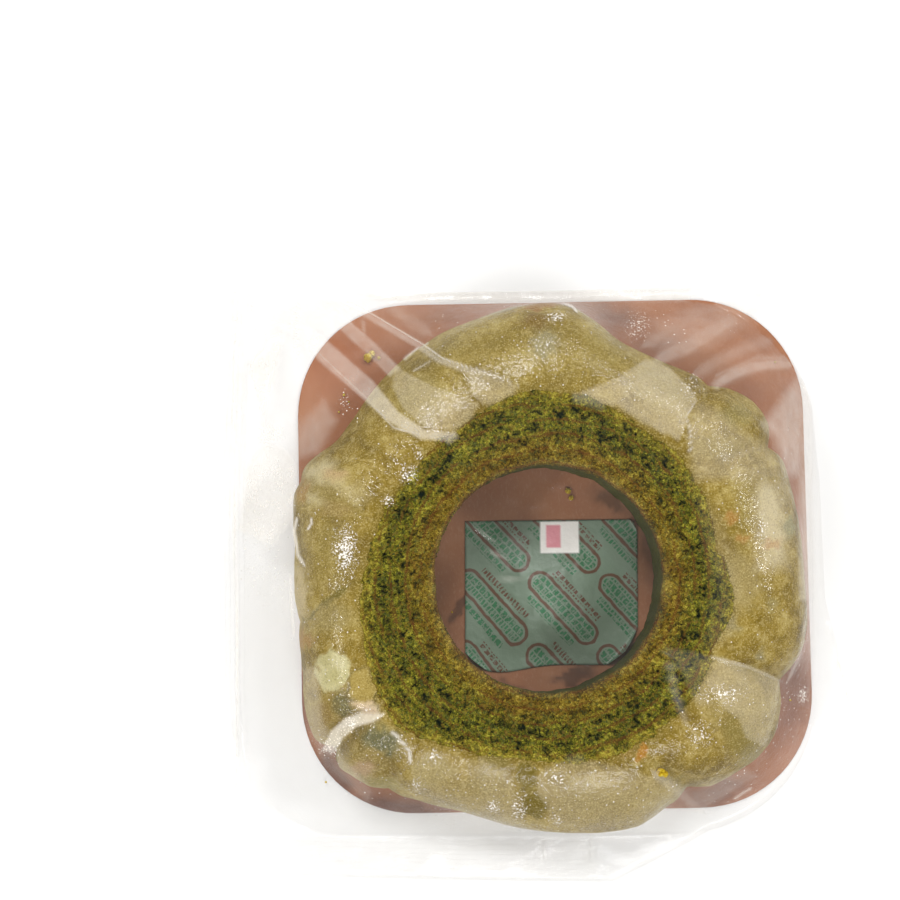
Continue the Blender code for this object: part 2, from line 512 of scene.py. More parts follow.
    def cleft(self, degrees: float, share: float) -> float:
        """How deep the film is pinched into the clefts, at this share of the way down the flank."""
        deep = 0.0
        for at_nose, at_cut, half_width, depth in self.clefts:
            off = abs(degrees - at_cut - (at_nose - at_cut) * share) / half_width
            if off < 1:
                deep += depth * (1 - off) * math.sin(math.pi * share * self.cleft_turn) ** 2
        return deep

    def fold(self, degrees: float, share: float) -> float:
        """Height of the tension folds over the free film, which die out at both ends."""
        for first, last, count, height in self.fold_fans:
            if first < degrees < last:
                phase = (degrees - first) / (last - first) * count % 1.0
                return height * (1 - abs(2 * phase - 1)) * math.sin(math.pi * share)
        return 0.0

    def spokes(self, count: int) -> list[Spoke]:
        """Works out evenly spaced directions round the hole.

        Args:
            count: how many.

        Returns:
            A spoke for each, anticlockwise from +X.
        """
        foot_line, edge_line = self.foot_line(), self.bag_edge()
        made = []
        for k in range(count):
            degrees = 360 * k / count
            cut = self.round_curve(self.cut_reach, degrees)
            nose = self.round_curve(self.flank_reach, degrees)
            foot = self.reach(foot_line, degrees, self.hole_centre)
            edge = self.reach(edge_line, degrees, self.hole_centre)
            touched = self.leaving_share(cut, nose, foot)
            leave = cut + (nose - cut) * touched
            height = self.flank_height(touched) - self.cleft(degrees, touched)
            foot = max(foot, leave + self.least_span)
            edge = max(edge, foot + self.least_margin)
            made.append(Spoke(degrees, cut, nose, foot, edge, touched, leave, height))
        return made

    def film_radius(self, spoke: Spoke, height: float) -> float:
        """How far out the free film is at a height below where it leaves the cake."""
        share = (spoke.leave_height - height) / (spoke.leave_height - self.margin_at_foot)
        return spoke.leave + (spoke.foot - spoke.leave) * share

    def place(self, degrees: float, radius: float, height: float) -> Place:
        """The point at a radius and height in one direction, in millimetres."""
        turn = math.radians(degrees)
        x, y = self.hole_centre
        return (x + radius * math.cos(turn), y + radius * math.sin(turn), height)


def ripple(x: float, y: float, z: float, octaves: int = 2) -> float:
    """Smooth noise of about -1 to 1, the same in each run."""
    return noise.fractal(Vector((x, y, z)), 1.0, 2.0, octaves)


def heading(turn: float, lean: float) -> Vector:
    """The unit vector that leans this far from straight up towards this bearing, in radians."""
    return Vector((math.sin(lean) * math.cos(turn), math.sin(lean) * math.sin(turn), math.cos(lean)))


def round_noise(degrees: float, pace: float, row: float, octaves: int = 2) -> float:
    """Noise that closes on itself round the hole.

    Args:
        degrees: the direction.
        pace: how many waves fit into a radian or so.
        row: which of many such curves is read.
        octaves: how fine it gets.

    Returns:
        A value of about -1 to 1.
    """
    turn = math.radians(degrees)
    return ripple(pace * math.cos(turn), pace * math.sin(turn), row, octaves)


def new_object(
    name: str, points: Sequence[Place], faces: Sequence[tuple[int, ...]],
    edges: Sequence[tuple[int, int]] = ()
) -> bpy.types.Object:
    """Makes a mesh object in the scene, shaded smooth.

    Args:
        name: its name.
        points: its points in metres.
        faces: its faces.
        edges: its loose edges.

    Returns:
        The object.
    """
    mesh = bpy.data.meshes.new(name)
    mesh.from_pydata(points, edges, faces)
    mesh.shade_smooth()
    made = bpy.data.objects.new(name, mesh)
    bpy.context.scene.collection.objects.link(made)
    return made


def store(made: bpy.types.Object, name: str, values: np.ndarray) -> None:
    """Stores a value, vector or colour for each point of a mesh.

    Args:
        made: the object.
        name: the attribute's name.
        values: one row of one, three or four channels for each point.
    """
    kinds = {1: ("FLOAT", "value"), 3: ("FLOAT_VECTOR", "vector"), 4: ("FLOAT_COLOR", "color")}
    kind, key = kinds[values.shape[-1]]
    attribute = made.data.attributes.new(name, kind, "POINT")
    attribute.data.foreach_set(key, values.astype(np.float32).ravel())


class Skin:
    """A closed skin from profiles that stand round an axis."""

    def __init__(self, name: str, columns: np.ndarray, poles: bool = False) -> None:
        """Makes the skin.

        Args:
            name: the object's name.
            columns: places in millimetres by direction, ring and axis. Directions run anticlockwise, and on
                top the rings run outwards.
            poles: whether the first and last ring are one point each. If not, the last ring joins the first.
        """
        count, rings, _ = columns.shape
        index = np.arange(count * rings).reshape(count, rings)
        if poles:
            index[:, 0], index[:, -1] = index[0, 0], index[0, -1]
        there = np.roll(index, -1, axis=0)
        faces = np.stack([index, np.roll(index, -1, 1), np.roll(there, -1, 1), there], axis=-1)
        faces = (faces[:, :-1] if poles else faces).reshape(-1, 4)
        self.kept = np.unique(faces)
        renumber = np.full(count * rings, -1)
        renumber[self.kept] = np.arange(len(self.kept))
        polygons = [tuple(dict.fromkeys(face)) for face in renumber[faces].tolist()]
        self.made = new_object(name, (columns * MM).reshape(-1, 3)[self.kept].tolist(), polygons)

    def store(self, name: str, values: np.ndarray) -> None:
        """Stores values that are given by direction and ring, and by channel for a colour."""
        store(self.made, name, values.reshape(-1, 4 if values.ndim == 3 else 1)[self.kept])


def finish_piece(made: bpy.types.Object, material: bpy.types.Material) -> None:
    """Gives a piece its material, has it ride and replace the solid, and reports it.

    Args:
        made: the finished piece.
        material: its material.
    """
    made.data.materials.clear()
    made.data.materials.append(material)
    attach(made, BODY)
    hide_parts(NODE)
    LOG.info("%s: %d triangles", made.name, sum(len(p.vertices) - 2 for p in made.data.polygons))


def box_near(points: np.ndarray, ring: np.ndarray, margin: float) -> np.ndarray:
    """Which points lie in the box round an outline or a path, widened by a margin."""
    return np.all((points >= ring.min(axis=0) - margin) & (points <= ring.max(axis=0) + margin), axis=-1)


def inside(points: np.ndarray, outline: Sequence[Point], feather: float) -> np.ndarray:
    """How far points lie inside an outline.

    Args:
        points: pixel places, with column and row last.
        outline: the outline's corners.
        feather: how many pixels its edge is soft for.

    Returns:
        One inside, zero outside, and in between along the edge.
    """
    ring = np.array(outline, dtype=float)
    near = box_near(points, ring, feather)
    cover = np.zeros(points.shape[:-1])
    p = points[near]
    odd = np.zeros(len(p), dtype=bool)
    gap = np.full(len(p), 1e9)
    for a, b in zip(ring, np.roll(ring, -1, axis=0)):
        run = b - a
        share = np.clip(((p - a) @ run) / max(float(run @ run), 1e-9), 0, 1)
        gap = np.minimum(gap, np.linalg.norm(p - a - share[:, None] * run, axis=1))
        crosses = (a[1] > p[:, 1]) != (b[1] > p[:, 1])
        rise = b[1] - a[1] if abs(b[1] - a[1]) > 1e-9 else 1e-9
        odd ^= crosses & (p[:, 0] < run[0] * (p[:, 1] - a[1]) / rise + a[0])
    cover[near] = np.clip(0.5 + np.where(odd, gap, -gap) / feather, 0, 1)
    return cover


def along(points: np.ndarray, path: Sequence[Point], width: float) -> np.ndarray:
    """How near points lie to a line, tapering to nothing at its ends.

    Args:
        points: pixel places, with column and row last.
        path: the line's points.
        width: its whole width in pixels.

    Returns:
        One on the line, falling evenly to zero at half its width.
    """
    line = np.array(path, dtype=float)
    near = box_near(points, line, width)
    cover = np.zeros(points.shape[:-1])
    p = points[near]
    lengths = np.linalg.norm(np.diff(line, axis=0), axis=1)
    total, done = lengths.sum(), 0.0
    best = np.full(len(p), 1e9)
    place = np.zeros(len(p))
    for a, b, length in zip(line[:-1], line[1:], lengths):
        run = b - a
        share = np.clip(((p - a) @ run) / float(run @ run), 0, 1)
        gap = np.linalg.norm(p - a - share[:, None] * run, axis=1)
        closer = gap < best
        best = np.where(closer, gap, best)
        place = np.where(closer, (done + share * length) / total, place)
        done += length
    taper = np.clip(np.minimum(place, 1 - place) / FOLD_TAPER, FOLD_TIP, 1)
    cover[near] = np.clip(1 - best / (width / 2 * taper), 0, 1)
    return cover


@dataclass(frozen=True)
class Stain:
    """A patch of other colour, the piece's own or painted shade or sheen: its centre and radii in pixels, its
    colour and how strong it is.
    """

    centre: Point
    radii: Point
    colour: str
    strength: float
    turn: float = 0.0
    softness: float = 0.35


@dataclass(frozen=True)
class Veil:
    """A patch on the film: its outline in pixels, and how strong its painted sheen is or how strewn with
    painted sparkles it is.
    """

    outline: tuple[Point, ...]
    strength: float
    feather: float = 3.0


@dataclass(frozen=True)
class Streak:
    """A fold in the film: its path and width in pixels, how strong its painted highlight is, and its height
    in millimetres.
    """

    path: tuple[Point, ...]
    width: float
    strength: float
    lift: float = 0.4


def stain_colours(
    stains: Sequence[Stain], pixels: np.ndarray, places: np.ndarray, ground: str, shade: float
) -> np.ndarray:
    """Mixes named patches of colour, painted shade and painted sheen for each point of a surface.

    Args:
        stains: the patches, the topmost last.
        pixels: where each point shows in the photograph.
        places: the same points in millimetres.
        ground: the colour between the patches.
        shade: how much of a patch's brightness is its own, and not the photograph's light.

    Returns:
        A linear colour for each point, with the patches' strength as alpha.
    """
    shape = pixels.shape[:-1]
    jitter = np.array([
        (ripple(x, y, z, 3), ripple(x + 9, y, z, 3))
        for x, y, z in (places / STAIN_WAVE).reshape(-1, 3).tolist()
    ]).reshape(*shape, 2)
    moved = pixels + STAIN_WANDER * jitter
    colour = np.zeros((*shape, 3)) + np.array(linear(ground)[:3])
    weight = np.zeros(shape)
    for stain in stains:
        turn = math.radians(stain.turn)
        away = moved - np.array(stain.centre)
        across = (away[..., 0] * math.cos(turn) + away[..., 1] * math.sin(turn)) / stain.radii[0]
        up = (away[..., 1] * math.cos(turn) - away[..., 0] * math.sin(turn)) / stain.radii[1]
        reach = np.sqrt(across**2 + up**2)
        cover = np.clip((1 + stain.softness - reach) / (2 * stain.softness), 0, 1) * stain.strength
        shown = shade * np.array(linear(stain.colour)[:3])
        colour = colour * (1 - cover[..., None]) + shown * cover[..., None]
        weight = np.maximum(weight, cover)
    return np.concatenate([colour, weight[..., None]], axis=-1)


@dataclass(frozen=True)
class GreenTeaCrumb:
    """Green tea sponge, cut open: matt, moist and granular, in olive and browned bands round the hole."""

    hole_centre: Point
    inner: tuple[str, ...] = ("#34270a", "#53410e", "#6e5917", "#8d7827", "#b29c44")
    outer: tuple[str, ...] = ("#20250c", "#3c3e10", "#5b5914", "#7e7822", "#b0a83a")
    stops: tuple[float, ...] = (0.26, 0.4, 0.5, 0.61, 0.76)
    baked: str = "#5e3618"
    # The near-black painted into the pores and crevices is their shade.
    deep: str = "#17221a"
    wall: str = "#4b5a22"
    grey_green: str = "#555e34"
    toast: str = "#7c5c24"
    roughness: float = 0.75
    grain: float = 0.62
    fine: float = 0.32
    clump: float = 5.0
    band: float = 2.0
    inner_ring: float = 41.0

    def build(self) -> bpy.types.Material:
        """Builds the material: ringed bands of colour, broken into grains, with baked lines, and with painted
        shade in the pores and crevices.
        """
        centre = (self.hole_centre[0] * MM, self.hole_centre[1] * MM, 0.0)
        return new_material("green_tea_sponge", (
            ("place", Kind.COORDS),
            ("centred", Kind.VECTOR, "SUBTRACT", ">place", centre),
            ("flat", Kind.VECTOR, "MULTIPLY", ">centred", (1, 1, 0)),
            ("radius", Kind.VECTOR, "LENGTH", ">flat"),
            # Noise on direction and radius: its patches are long round the hole and short across.
            ("heading", Kind.VECTOR, "NORMALIZE", ">flat"),
            ("wander", Kind.NOISE, ">place", per_mm(self.clump), 4.0),
            ("warp", Kind.MATH, "MULTIPLY_ADD", ">wander", 9.0 * MM, ">radius.Value"),
            ("across", Kind.MATH, "MULTIPLY", ">warp", per_mm(self.band)),
            ("climb", "ShaderNodeCombineXYZ", {2: ">across"}),
            ("polar", Kind.VECTOR, "MULTIPLY_ADD", ">heading", (6.0, 6.0, 6.0), ">climb"),
            ("band", Kind.NOISE, ">polar", 1.0, 4.0, 0.6),
            ("cells", Kind.CELLS, ">place", per_mm(self.grain)),
            ("shade", Kind.SPLIT, ">cells.Color"),
            ("fine", Kind.NOISE, ">place", per_mm(self.fine), 2.0, 0.7),
            ("banded", Kind.MATH, "MULTIPLY_ADD", ">band", 0.6, -0.5),
            ("broken", Kind.MATH, "MULTIPLY_ADD", ">shade", 0.22, ">banded"),
            ("grained", Kind.MATH, "MULTIPLY_ADD", ">fine", 0.86, ">broken"),
            ("mixed", Kind.MATH, "MULTIPLY_ADD", ">wander", 0.3, ">grained"),
            ("beyond", Kind.RANGE, ">warp", (self.inner_ring + 1.0) * MM, (self.inner_ring + 7.0) * MM),
            # Towards the glaze the grains are drier: paler, and brown rather than green.
            ("lip", Kind.ATTRIBUTE, "lip"),
            ("ragged", Kind.MATH, "MULTIPLY", ">lip", ">wander"),
            ("dried", Kind.MATH, "MULTIPLY_ADD", ">ragged", 0.22, ">mixed"),
            ("greener", Kind.MATH, "SUBTRACT", ">beyond", ">ragged", {"use_clamp": True}),
            ("inner", Kind.RAMP, ">dried", {"ramp": tuple(zip(self.stops, self.inner))}),
            ("outer", Kind.RAMP, ">dried", {"ramp": tuple(zip(self.stops, self.outer))}),
            ("ringed", Kind.MIX, ">greener", ">inner", ">outer"),
            # Some grains are greyer green and some are browner than their ring.
            ("green_part", Kind.RANGE, ">shade.Green", 0.62, 0.95, None, 0.4),
            ("greyed", Kind.MIX, ">green_part", ">ringed", self.grey_green),
            ("brown_part", Kind.RANGE, ">shade.Blue", 0.66, 0.95, None, 0.5),
            ("toasted", Kind.MIX, ">brown_part", ">greyed", self.toast),
            # The baked rings are strings of browner grains, not drawn lines.
            ("layer", Kind.ATTRIBUTE, "layer"),
            ("grainy", Kind.RANGE, ">fine", 0.62, 0.44, 0.28, 0.95),
            ("strung", Kind.MATH, "MULTIPLY", ">layer", ">grainy"),
            ("browned", Kind.MIX, ">strung", ">toasted", self.baked),
            # Painted shade: pores and crevices between clumps are darkened, where light doesn't reach into
            # them.
            ("pit", Kind.ATTRIBUTE, "pit"),
            ("pitted", Kind.MIX, ">pit", ">browned", self.deep),
            ("wall", Kind.ATTRIBUTE, "wall"),
            ("walled", Kind.MIX, ">wall", ">pitted", self.wall),
            ("bump", Kind.BUMP, ">mixed", 0.8, 0.4 * MM),
            ("shader", "ShaderNodeBsdfPrincipled", {
                "Base Color": ">walled", "Roughness": self.roughness, "IOR": 1.4, "Specular IOR Level": 0.11,
                "Normal": ">bump"}),
        ))


@dataclass(frozen=True)
class SugarGlaze:
    """Thin set sugar glaze over a baked skin: beige to olive and cloudy, with painted sheen that pales it
    under the film's sheen patches.
    """

    mottle: float = 10.0
    fleck: float = 2.4
    grain: float = 0.5

    def build(self) -> bpy.types.Material:
        """Builds the material: clouds, named patches of its own colour and of painted sheen, flecks, and the
        crumb showing at its torn edge.
        """
        base = ((0.36, "#6f5a1c"), (0.46, "#816b22"), (0.55, "#917a30"), (0.66, "#a8934e"))
        return new_material("set_sugar_glaze", (
            ("place", Kind.COORDS),
            ("cloud", Kind.NOISE, ">place", per_mm(self.mottle), 6.0, 0.62, 0.4),
            ("base", Kind.RAMP, ">cloud", {"ramp": base}),
            ("fleck", Kind.NOISE, ">place", per_mm(self.fleck), 4.0, 0.65, 0.6),
            ("darker", Kind.RANGE, ">fleck", 0.49, 0.36, None, 0.3),
            ("flecked", Kind.MIX, ">darker", ">base", "#5f4c17"),
            ("paler", Kind.RANGE, ">fleck", 0.52, 0.66, None, 0.35),
            ("creamed", Kind.MIX, ">paler", ">flecked", "#c9b881"),
            ("rim", Kind.ATTRIBUTE, "rim"),
            ("rimmed", Kind.MIX, ">rim", ">creamed", "#84702a"),
            ("stain", Kind.ATTRIBUTE, "stain"),
            ("stained", Kind.MIX, ">stain.Alpha", ">rimmed", ">stain.Color"),
            # Painted sheen: the glaze is paled under the film's sheen patches.
            ("dry", Kind.ATTRIBUTE, "dry"),
            ("dried", Kind.MIX, ">dry", ">stained", "#d6c594"),
            ("grain", Kind.NOISE, ">place", per_mm(self.grain), 3.0, 0.7),
            ("speck", Kind.RANGE, ">grain", 0.47, 0.34, None, 0.45),
            ("specked", Kind.MIX, ">speck", ">dried", "#5c4710"),
            ("sugar", Kind.RANGE, ">grain", 0.54, 0.68, None, 0.5),
            ("sugared", Kind.MIX, ">sugar", ">specked", "#dccb90"),
            ("torn", Kind.RANGE, ">grain", 0.5, 0.4, None, 0.85),
            ("edge", Kind.MATH, "MULTIPLY", ">torn", ">rim"),
            ("crumbed", Kind.MIX, ">edge", ">sugared", "#4b4213"),
            ("bump", Kind.BUMP, ">grain", 0.6, 0.35 * MM),
            ("shader", "ShaderNodeBsdfPrincipled", {
                "Base Color": ">crumbed", "Roughness": 0.5, "IOR": 1.48, "Specular IOR Level": 0.1,
                "Normal": ">bump"}),
        ))


@dataclass(frozen=True)
class CoatedCard:
    """Brown board with a thin matt coating: even and warm, with faint short fibres, rubs and a soft sheen."""

    fibre: float = 0.7
    rub: float = 16.0

    def build(self) -> bpy.types.Material:
        """Builds the material: broad rubs, faint fibres that lie one way, and fine pale specks."""
        return new_material("coated_brown_card", (
            ("place", Kind.COORDS),
            ("drawn", "ShaderNodeMapping", {
                "Vector": ">place", "Rotation": (0, 0, 0.6), "Scale": (1.0, 0.5, 1.0)}),
            ("fibre", Kind.NOISE, ">drawn", per_mm(self.fibre), 3.0, 0.65),
            ("rub", Kind.NOISE, ">place", per_mm(self.rub), 5.0),
            ("base", Kind.RAMP, ">rub", {"ramp": ((0.35, "#9b6545"), (0.55, "#a46d4a"), (0.7, "#ac7755"))}),
            ("speck", Kind.RANGE, ">fibre", 0.52, 0.75, None, 0.3),
            ("fibred", Kind.MIX, ">speck", ">base", "#c0906f"),
            # Oil soaks and painted shade and shadow, held by the piece's attribute.
            ("stain", Kind.ATTRIBUTE, "stain"),
            ("stained", Kind.MIX, ">stain.Alpha", ">fibred", ">stain.Color"),
            ("bump", Kind.BUMP, ">fibre", 0.15, 0.06 * MM),
            ("shader", "ShaderNodeBsdfPrincipled", {
                "Base Color": ">stained", "Roughness": 0.62, "IOR": 1.5, "Specular IOR Level": 0.35,
                "Normal": ">bump"}),
        ))


@dataclass(frozen=True)
class SachetPaper:
    """Paper laminated to film, printed with slanting brown loops and green bars: pale and faintly shiny."""

    pitch: Point = (31.0, 15.4)
    slant: float = 47.0
    loop_half: float = 10.6
    loop_radius: float = 3.3
    line_width: float = 1.05
    bar: Point = (1.9, 2.3)
    paper: str = "#7b8f7b"
    wobble: float = 0.9
    green: tuple[str, str] = ("#0a5a33", "#22784a")
    brown: str = "#62351f"

    def print_rows(self) -> list[Row]:
        """Leads from a place on the sheet to its place round the nearest loop, and on to what is printed.

        Returns:
            The rows, of which the last ones give the bars and the line that are printed.
        """
        across, up = self.pitch
        steps: tuple[Row, ...] = (
            ("rows", "DIVIDE", ">part.Y", up),
            ("row", "FLOOR", ">rows"),
            ("odd", "FLOORED_MODULO", ">row", 2.0),
            ("shifted", "MULTIPLY_ADD", ">odd", across / 2, ">part.X"),
            ("run", "FLOORED_MODULO", ">shifted", across),
            ("x", "SUBTRACT", ">run", across / 2),
            ("climb", "FLOORED_MODULO", ">part.Y", up),
            ("y", "SUBTRACT", ">climb", up / 2),
            ("far", "ABSOLUTE", ">x"),
            ("over", "SUBTRACT", ">far", self.loop_half),
            ("past", "MAXIMUM", ">over", 0.0),
            ("past_square", "MULTIPLY", ">past", ">past"),
            ("square", "MULTIPLY_ADD", ">y", ">y", ">past_square"),
            ("gap", "SQRT", ">square"),
            ("off", "SUBTRACT", ">gap", self.loop_radius),
            ("off_line", "ABSOLUTE", ">off"),
            ("within", "LESS_THAN", ">gap", self.loop_radius - 1.0),
            ("side", "ABSOLUTE", ">y"),
            ("beside", "COMPARE", ">side", up / 2 - 2.1, 1.1),
            ("short", "LESS_THAN", ">far", across / 2 - 5.5),
            ("beside_bars", "MULTIPLY", ">beside", ">short"),
            ("below", "GREATER_THAN", ">y", 0.0),
            ("brown_bars", "MULTIPLY", ">beside_bars", ">below"),
            ("outer_green", "SUBTRACT", ">beside_bars", ">brown_bars"),
            ("green_bars", "MAXIMUM", ">within", ">outer_green"),
        )
        return [(name, Kind.MATH, *rest) for name, *rest in steps]

    def build(self) -> bpy.types.Material:
        """Builds the material: a generic print on the piece's own flat coordinates, in millimetres."""
        wide = self.line_width
        return new_material("printed_sachet_paper", (
            ("sheet", Kind.ATTRIBUTE, "sheet"),
            ("crinkle", Kind.NOISE, ">sheet.Vector", 0.4, 3.0),
            ("sway", Kind.VECTOR, "SCALE", ">crinkle.Color", {"Scale": self.wobble}),
            ("pulled", Kind.VECTOR, "ADD", ">sheet.Vector", ">sway"),
            ("turned", "ShaderNodeMapping", {
                "Vector": ">pulled", "Rotation": (0.0, 0.0, math.radians(self.slant))}),
            ("part", "ShaderNodeSeparateXYZ", {0: ">turned"}),
            *self.print_rows(),
            ("loop", Kind.RANGE, ">off_line", wide * 0.6, wide * 0.35, None, 0.9),
            ("bars", "ShaderNodeTexBrick", {
                "offset": 0.37, "squash": 0.6, "squash_frequency": 3, "Vector": ">turned", "Color1": WHITE,
                "Color2": (0.85, 0.85, 0.85, 1), "Mortar": (0, 0, 0, 1), "Scale": 1.0, "Mortar Size": 0.27,
                "Mortar Smooth": 0.5, "Brick Width": self.bar[0], "Row Height": self.bar[1]}),
            ("blot", Kind.NOISE, ">sheet.Vector", 0.85, 2.5, 0.65),
            ("worn", Kind.RANGE, ">blot", 0.4, 0.5, 0.1, 1.0),
            ("ink", Kind.MATH, "MULTIPLY", ">bars.Color", ">worn"),
            ("green_ink", Kind.MATH, "MULTIPLY", ">ink", ">green_bars"),
            ("brown_ink", Kind.MATH, "MULTIPLY", ">ink", ">brown_bars"),
            ("hue", Kind.RAMP, ">blot", {"ramp": tuple(zip((0.4, 0.6), self.green))}),
            ("greened", Kind.MIX, ">green_ink", self.paper, ">hue"),
            ("barred", Kind.MIX, ">brown_ink", ">greened", self.brown),
            ("looped", Kind.MIX, ">loop", ">barred", self.brown),
            ("patch", Kind.ATTRIBUTE, "patch"),
            ("patched", Kind.MIX, ">patch.Alpha", ">looped", ">patch.Color"),
            ("bump", Kind.BUMP, ">crinkle", 0.5, 0.5 * MM),
            ("shader", "ShaderNodeBsdfPrincipled", {
                "Base Color": ">patched", "Roughness": 0.4, "IOR": 1.5, "Normal": ">bump"}),
        ))


@dataclass(frozen=True)
class ClearFilm:
    """Cast polypropylene film: clear and glossy, a little hazy where it stands off, with painted white sheen
    and highlights, and painted glints where it is crushed.
    """

    # What a thin film throws back straight on, and at its rim.
    straight_on: float = 0.024
    grazing: float = 0.6
    roughness: float = 0.12
    speck: float = 0.62
    bead: float = 1.1
    cloud: float = 5.0
    ripple_size: float = 6.0
    dent: float = 1.3

    def build(self) -> bpy.types.Material:
        """Builds the material: see-through, with painted white sheen and some haziness by attribute, with a
        gloss that grows at the rim.
        """
        return new_material("cast_clear_film", (
            ("place", Kind.COORDS),
            # The film's white is partly its own slight milkiness and partly painted sheen, highlights and
            # glints.
            ("haze", Kind.ATTRIBUTE, "haze"),
            ("frost", Kind.ATTRIBUTE, "frost"),
            ("crushed", Kind.NOISE, ">place", per_mm(self.speck), 2.0, 0.65, 0.15),
            # The more a patch is crushed, the more of it is white specks, which are painted glints.
            ("low", Kind.MATH, "MULTIPLY_ADD", ">frost", -0.22, 0.67),
            ("high", Kind.MATH, "ADD", ">low", 0.06),
            ("specks", Kind.RANGE, ">crushed", ">low", ">high", None, 0.85),
            ("gate", Kind.MATH, "MULTIPLY", ">frost", 5.0, {"use_clamp": True}),
            ("frosted", Kind.MATH, "MULTIPLY", ">specks", ">gate"),
            # Single sparkles: dots in some of the cells, the more the likelier.
            ("spark", Kind.ATTRIBUTE, "spark"),
            ("beads", Kind.CELLS, ">place", per_mm(self.bead)),
            ("draw", Kind.SPLIT, ">beads.Color"),
            ("lit", Kind.MATH, "LESS_THAN", ">draw", ">spark"),
            ("dot", Kind.RANGE, ">beads", 0.26, 0.1, None, 0.8),
            ("glint", Kind.MATH, "MULTIPLY", ">lit", ">dot"),
            ("bright", Kind.MATH, "MAXIMUM", ">frosted", ">glint"),
            ("cloud", Kind.NOISE, ">place", per_mm(self.cloud), 4.0, 0.6),
            ("uneven", Kind.RANGE, ">cloud", 0.3, 0.7, 0.75, 1.25),
            ("hazed", Kind.MATH, "MULTIPLY", ">haze", ">uneven"),
            ("milky", Kind.MATH, "ADD", ">hazed", ">bright", {"use_clamp": True}),
            ("rise", Kind.NOISE, ">place", per_mm(self.ripple_size), 3.0),
            ("soft_bump", Kind.BUMP, ">rise", 0.35, 1.0 * MM),
            ("cling", Kind.ATTRIBUTE, "cling"),
            ("wet", Kind.NOISE, ">place", per_mm(self.dent), 2.0, 0.6),
            ("wet_bump", Kind.BUMP, ">wet", ">cling", 0.5 * MM, ">soft_bump"),
            ("crush_bump", Kind.BUMP, ">crushed", ">frost", 0.8 * MM, ">wet_bump"),
            ("facing", "ShaderNodeLayerWeight", {"Blend": 0.5, "Normal": ">crush_bump"}),
            ("fifth", Kind.MATH, "POWER", ">facing.Facing", 5.0),
            ("gloss", Kind.MATH, "MULTIPLY_ADD", ">fifth", self.grazing - self.straight_on, self.straight_on,
             {"use_clamp": True}),
            ("clear", "ShaderNodeBsdfTransparent", {"Color": WHITE}),
            ("milk", "ShaderNodeBsdfDiffuse", {"Color": "#fff8ec"}),
            ("body", "ShaderNodeMixShader", {0: ">milky", 1: ">clear", 2: ">milk"}),
            ("shine", "ShaderNodeBsdfGlossy", {
                "Color": WHITE, "Roughness": self.roughness, "Normal": ">crush_bump"}),
            ("whole", "ShaderNodeMixShader", {0: ">gloss", 1: ">body", 2: ">shine"}),
        ))


